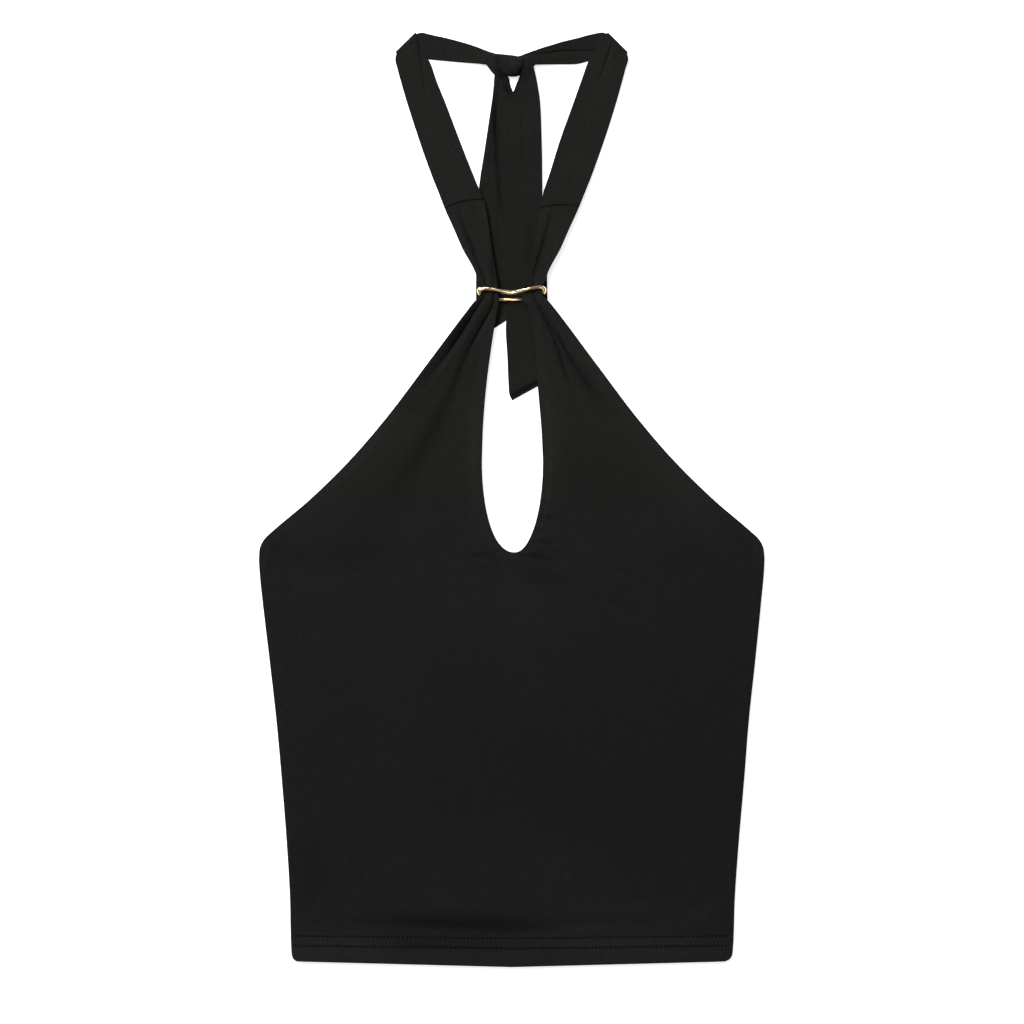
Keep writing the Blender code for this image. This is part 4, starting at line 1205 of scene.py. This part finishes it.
def jersey(name, colour):
    """Fine matt black knit: stitch relief, fuzz, small changes of tone, and painted light and
    shade.
    """
    nodes = Nodes(bpy.data.materials.new(name))
    grain = nodes.split(nodes.add("Attribute", attribute_name="grain").outputs["Vector"])
    tone = nodes.add("Attribute", attribute_name="tone").outputs["Fac"]
    where = nodes.add("TexCoord").outputs["Object"]
    knit = knit_height(nodes, grain)
    fuzz = nodes.noise(where, FUZZ_SCALE, 3.0)
    nodes.bump(nodes.math("MULTIPLY_ADD", fuzz, 1.6, knit), 0.8, KNIT_DEPTH)
    cloudy = nodes.noise(where, CLOUD_SCALE, 3.0)
    mottled = nodes.noise(where, MOTTLE_SCALE)
    amount = nodes.math("MULTIPLY_ADD", cloudy, 0.30, 0.85)
    grainy = nodes.math("MULTIPLY_ADD", mottled, 0.9, 0.55)
    both = nodes.math("MULTIPLY", amount, grainy)
    strands = nodes.math("MULTIPLY_ADD", knit, 0.06, both)
    shade = nodes.math("MULTIPLY", strands, tone)
    rise = 1 / (WARMER_TO - WARMER_FROM)
    warmer = nodes.math("MULTIPLY_ADD", grain[1], rise, -WARMER_FROM * rise)
    warmer.node.use_clamp = True
    yarn = nodes.add("Mix", data_type="RGBA")
    nodes.link(warmer, yarn.inputs["Factor"])
    yarn.inputs["A"].default_value = (*colour, 1.0)
    yarn.inputs["B"].default_value = (*STRAP_JERSEY, 1.0)
    nodes.tint(shade, yarn.outputs["Result"])
    uneven = nodes.math("MULTIPLY_ADD", mottled, 0.16, 0.78)
    nodes.link(uneven, nodes.shader.inputs["Roughness"])
    nodes.set(("Specular IOR Level", CLOTH_GLOSS), ("Sheen Weight", 0.03), ("Sheen Roughness", 0.5))
    return nodes.holder


def plain_cloth():
    """The jersey where it bulges between stitches, lighter as a painted highlight."""
    nodes = Nodes(bpy.data.materials.new("black_jersey_puff_highlight"))
    nodes.set(("Base Color", (*PUFF_HIGHLIGHT_JERSEY, 1.0)))
    nodes.set(("Roughness", 0.85), ("Specular IOR Level", CLOTH_GLOSS))
    return nodes.holder


def thread():
    """Twisted sewing thread, black, and darker still as painted shade of the pits the stitches sink
    into.
    """
    nodes = Nodes(bpy.data.materials.new("black_thread_pit_shade"))
    where = nodes.add("TexCoord").outputs["Object"]
    twist = nodes.noise(where, TWIST_SCALE, 1.0)
    nodes.bump(twist, 0.6, 0.06)
    nodes.tint(nodes.math("MULTIPLY_ADD", twist, 0.5, 0.6), THREAD_AND_PIT_SHADE)
    nodes.set(("Roughness", 0.7), ("Specular IOR Level", CLOTH_GLOSS))
    return nodes.holder


def polished_gold():
    """Pale gold plate, with faint hammering, fine wear in its polish, and painted shade from the
    points' tone.
    """
    nodes = Nodes(bpy.data.materials.new("polished_gold"))
    where = nodes.add("TexCoord").outputs["Object"]
    dents = nodes.noise(where, DENT_SCALE, 1.0)
    scuffs = nodes.noise(where, SCUFF_SCALE, 4.0)
    nodes.bump(dents, 0.3, 0.04)
    level = nodes.math("MULTIPLY_ADD", scuffs, 0.1, 0.04)
    nodes.link(level, nodes.shader.inputs["Roughness"])
    tone = nodes.add("Attribute", attribute_name="tone").outputs["Fac"]
    scuffed = nodes.math("MULTIPLY_ADD", scuffs, 0.2, 0.9)
    nodes.tint(nodes.math("MULTIPLY", scuffed, tone), GOLD)
    nodes.set(("Metallic", 1.0))
    return nodes.holder


def floor():
    """Plain pale floor of a photo studio."""
    nodes = Nodes(bpy.data.materials.new("studio_white"))
    nodes.set(("Base Color", (*WHITE_FLOOR, 1.0)), ("Roughness", 0.9), ("Specular IOR Level", 0.0))
    nodes.set(("Emission Color", WHITE), ("Emission Strength", FLOOR_GLOW))
    mesh = bpy.data.meshes.new("studio_floor")
    signs = ((-1, -1), (1, -1), (1, 1), (-1, 1))
    mesh.from_pydata([(x * FLOOR_REACH, y * FLOOR_REACH, 0) for x, y in signs], [], [(0, 1, 2, 3)])
    mesh.materials.append(nodes.holder)
    made = in_scene("studio_floor", mesh)
    made.location.z = FLOOR_LEVEL


def light():
    """White surround, brightest overhead, a soft lamp from the upper left and a strip."""
    nodes = Nodes(bpy.data.worlds.new("studio"), "Background")
    nodes.set(("Color", WHITE))
    direction = nodes.split(nodes.add("TexCoord").outputs["Generated"])
    above = nodes.math("MAXIMUM", direction[2], 0.0)
    squared = nodes.math("POWER", above, 2.0)
    span = WORLD_ZENITH - WORLD_HORIZON
    level = nodes.math("MULTIPLY_ADD", squared, span, WORLD_HORIZON)
    nodes.link(level, nodes.shader.inputs["Strength"])
    bpy.context.scene.world = nodes.holder
    for name, place_at, size, watts in LAMPS:
        lamp = bpy.data.lights.new(name, "AREA")
        lamp.shape = "RECTANGLE"
        lamp.size, lamp.size_y = size
        lamp.energy = watts
        holder = in_scene(name, lamp)
        holder.location = place_at
        holder.rotation_euler = (-holder.location).to_track_quat("-Z", "Y").to_euler()
    bpy.context.scene.view_settings.view_transform = "Standard"


def camera():
    lens = bpy.data.cameras.new("camera")
    lens.sensor_width = SENSOR
    lens.lens = SENSOR * (CAMERA_HEIGHT - FOCUS_HEIGHT) / PICTURE_WIDTH
    lens.clip_end = FARTHEST_SEEN
    made = in_scene("camera", lens)
    made.location = (*PICTURE_CENTRE, CAMERA_HEIGHT)
    bpy.context.scene.camera = made


def main():
    camera()
    light()
    floor()
    front_knit = jersey("black_jersey_front", JERSEY)
    back_knit = jersey("black_jersey_back", JERSEY)
    strap_knit = jersey("black_jersey_straps", STRAP_JERSEY)
    sewing = thread()
    front = dress(front_cloth(front_knit), "jersey_front", "front_panel")
    back = dress(back_cloth(back_knit), "jersey_back", "back_panel")
    hem = dress(hem_stitches(sewing), "jersey_front")
    puffs = dress(hem_puffs(plain_cloth()), "jersey_front")
    seam_left = dress(seam_stitches("left", sewing), "jersey_straps")
    seam_right = dress(seam_stitches("right", sewing), "jersey_straps")
    strap_left = dress(strap_cloth("left", strap_knit), "jersey_straps", "strap_left")
    strap_right = dress(strap_cloth("right", strap_knit), "jersey_straps", "strap_right")
    knot = dress(knot_cloth(strap_knit), "jersey_straps", "knot")
    tail_left = dress(tail_cloth("left", TAIL_LEFT, strap_knit), "jersey_straps", "tail_left")
    tail_right = tail_cloth("right", TAIL_RIGHT, strap_knit)
    dress(tail_right, "jersey_straps", "tail_right")
    dress(ring_wire(polished_gold()), "gold_wire", "ring")


main()
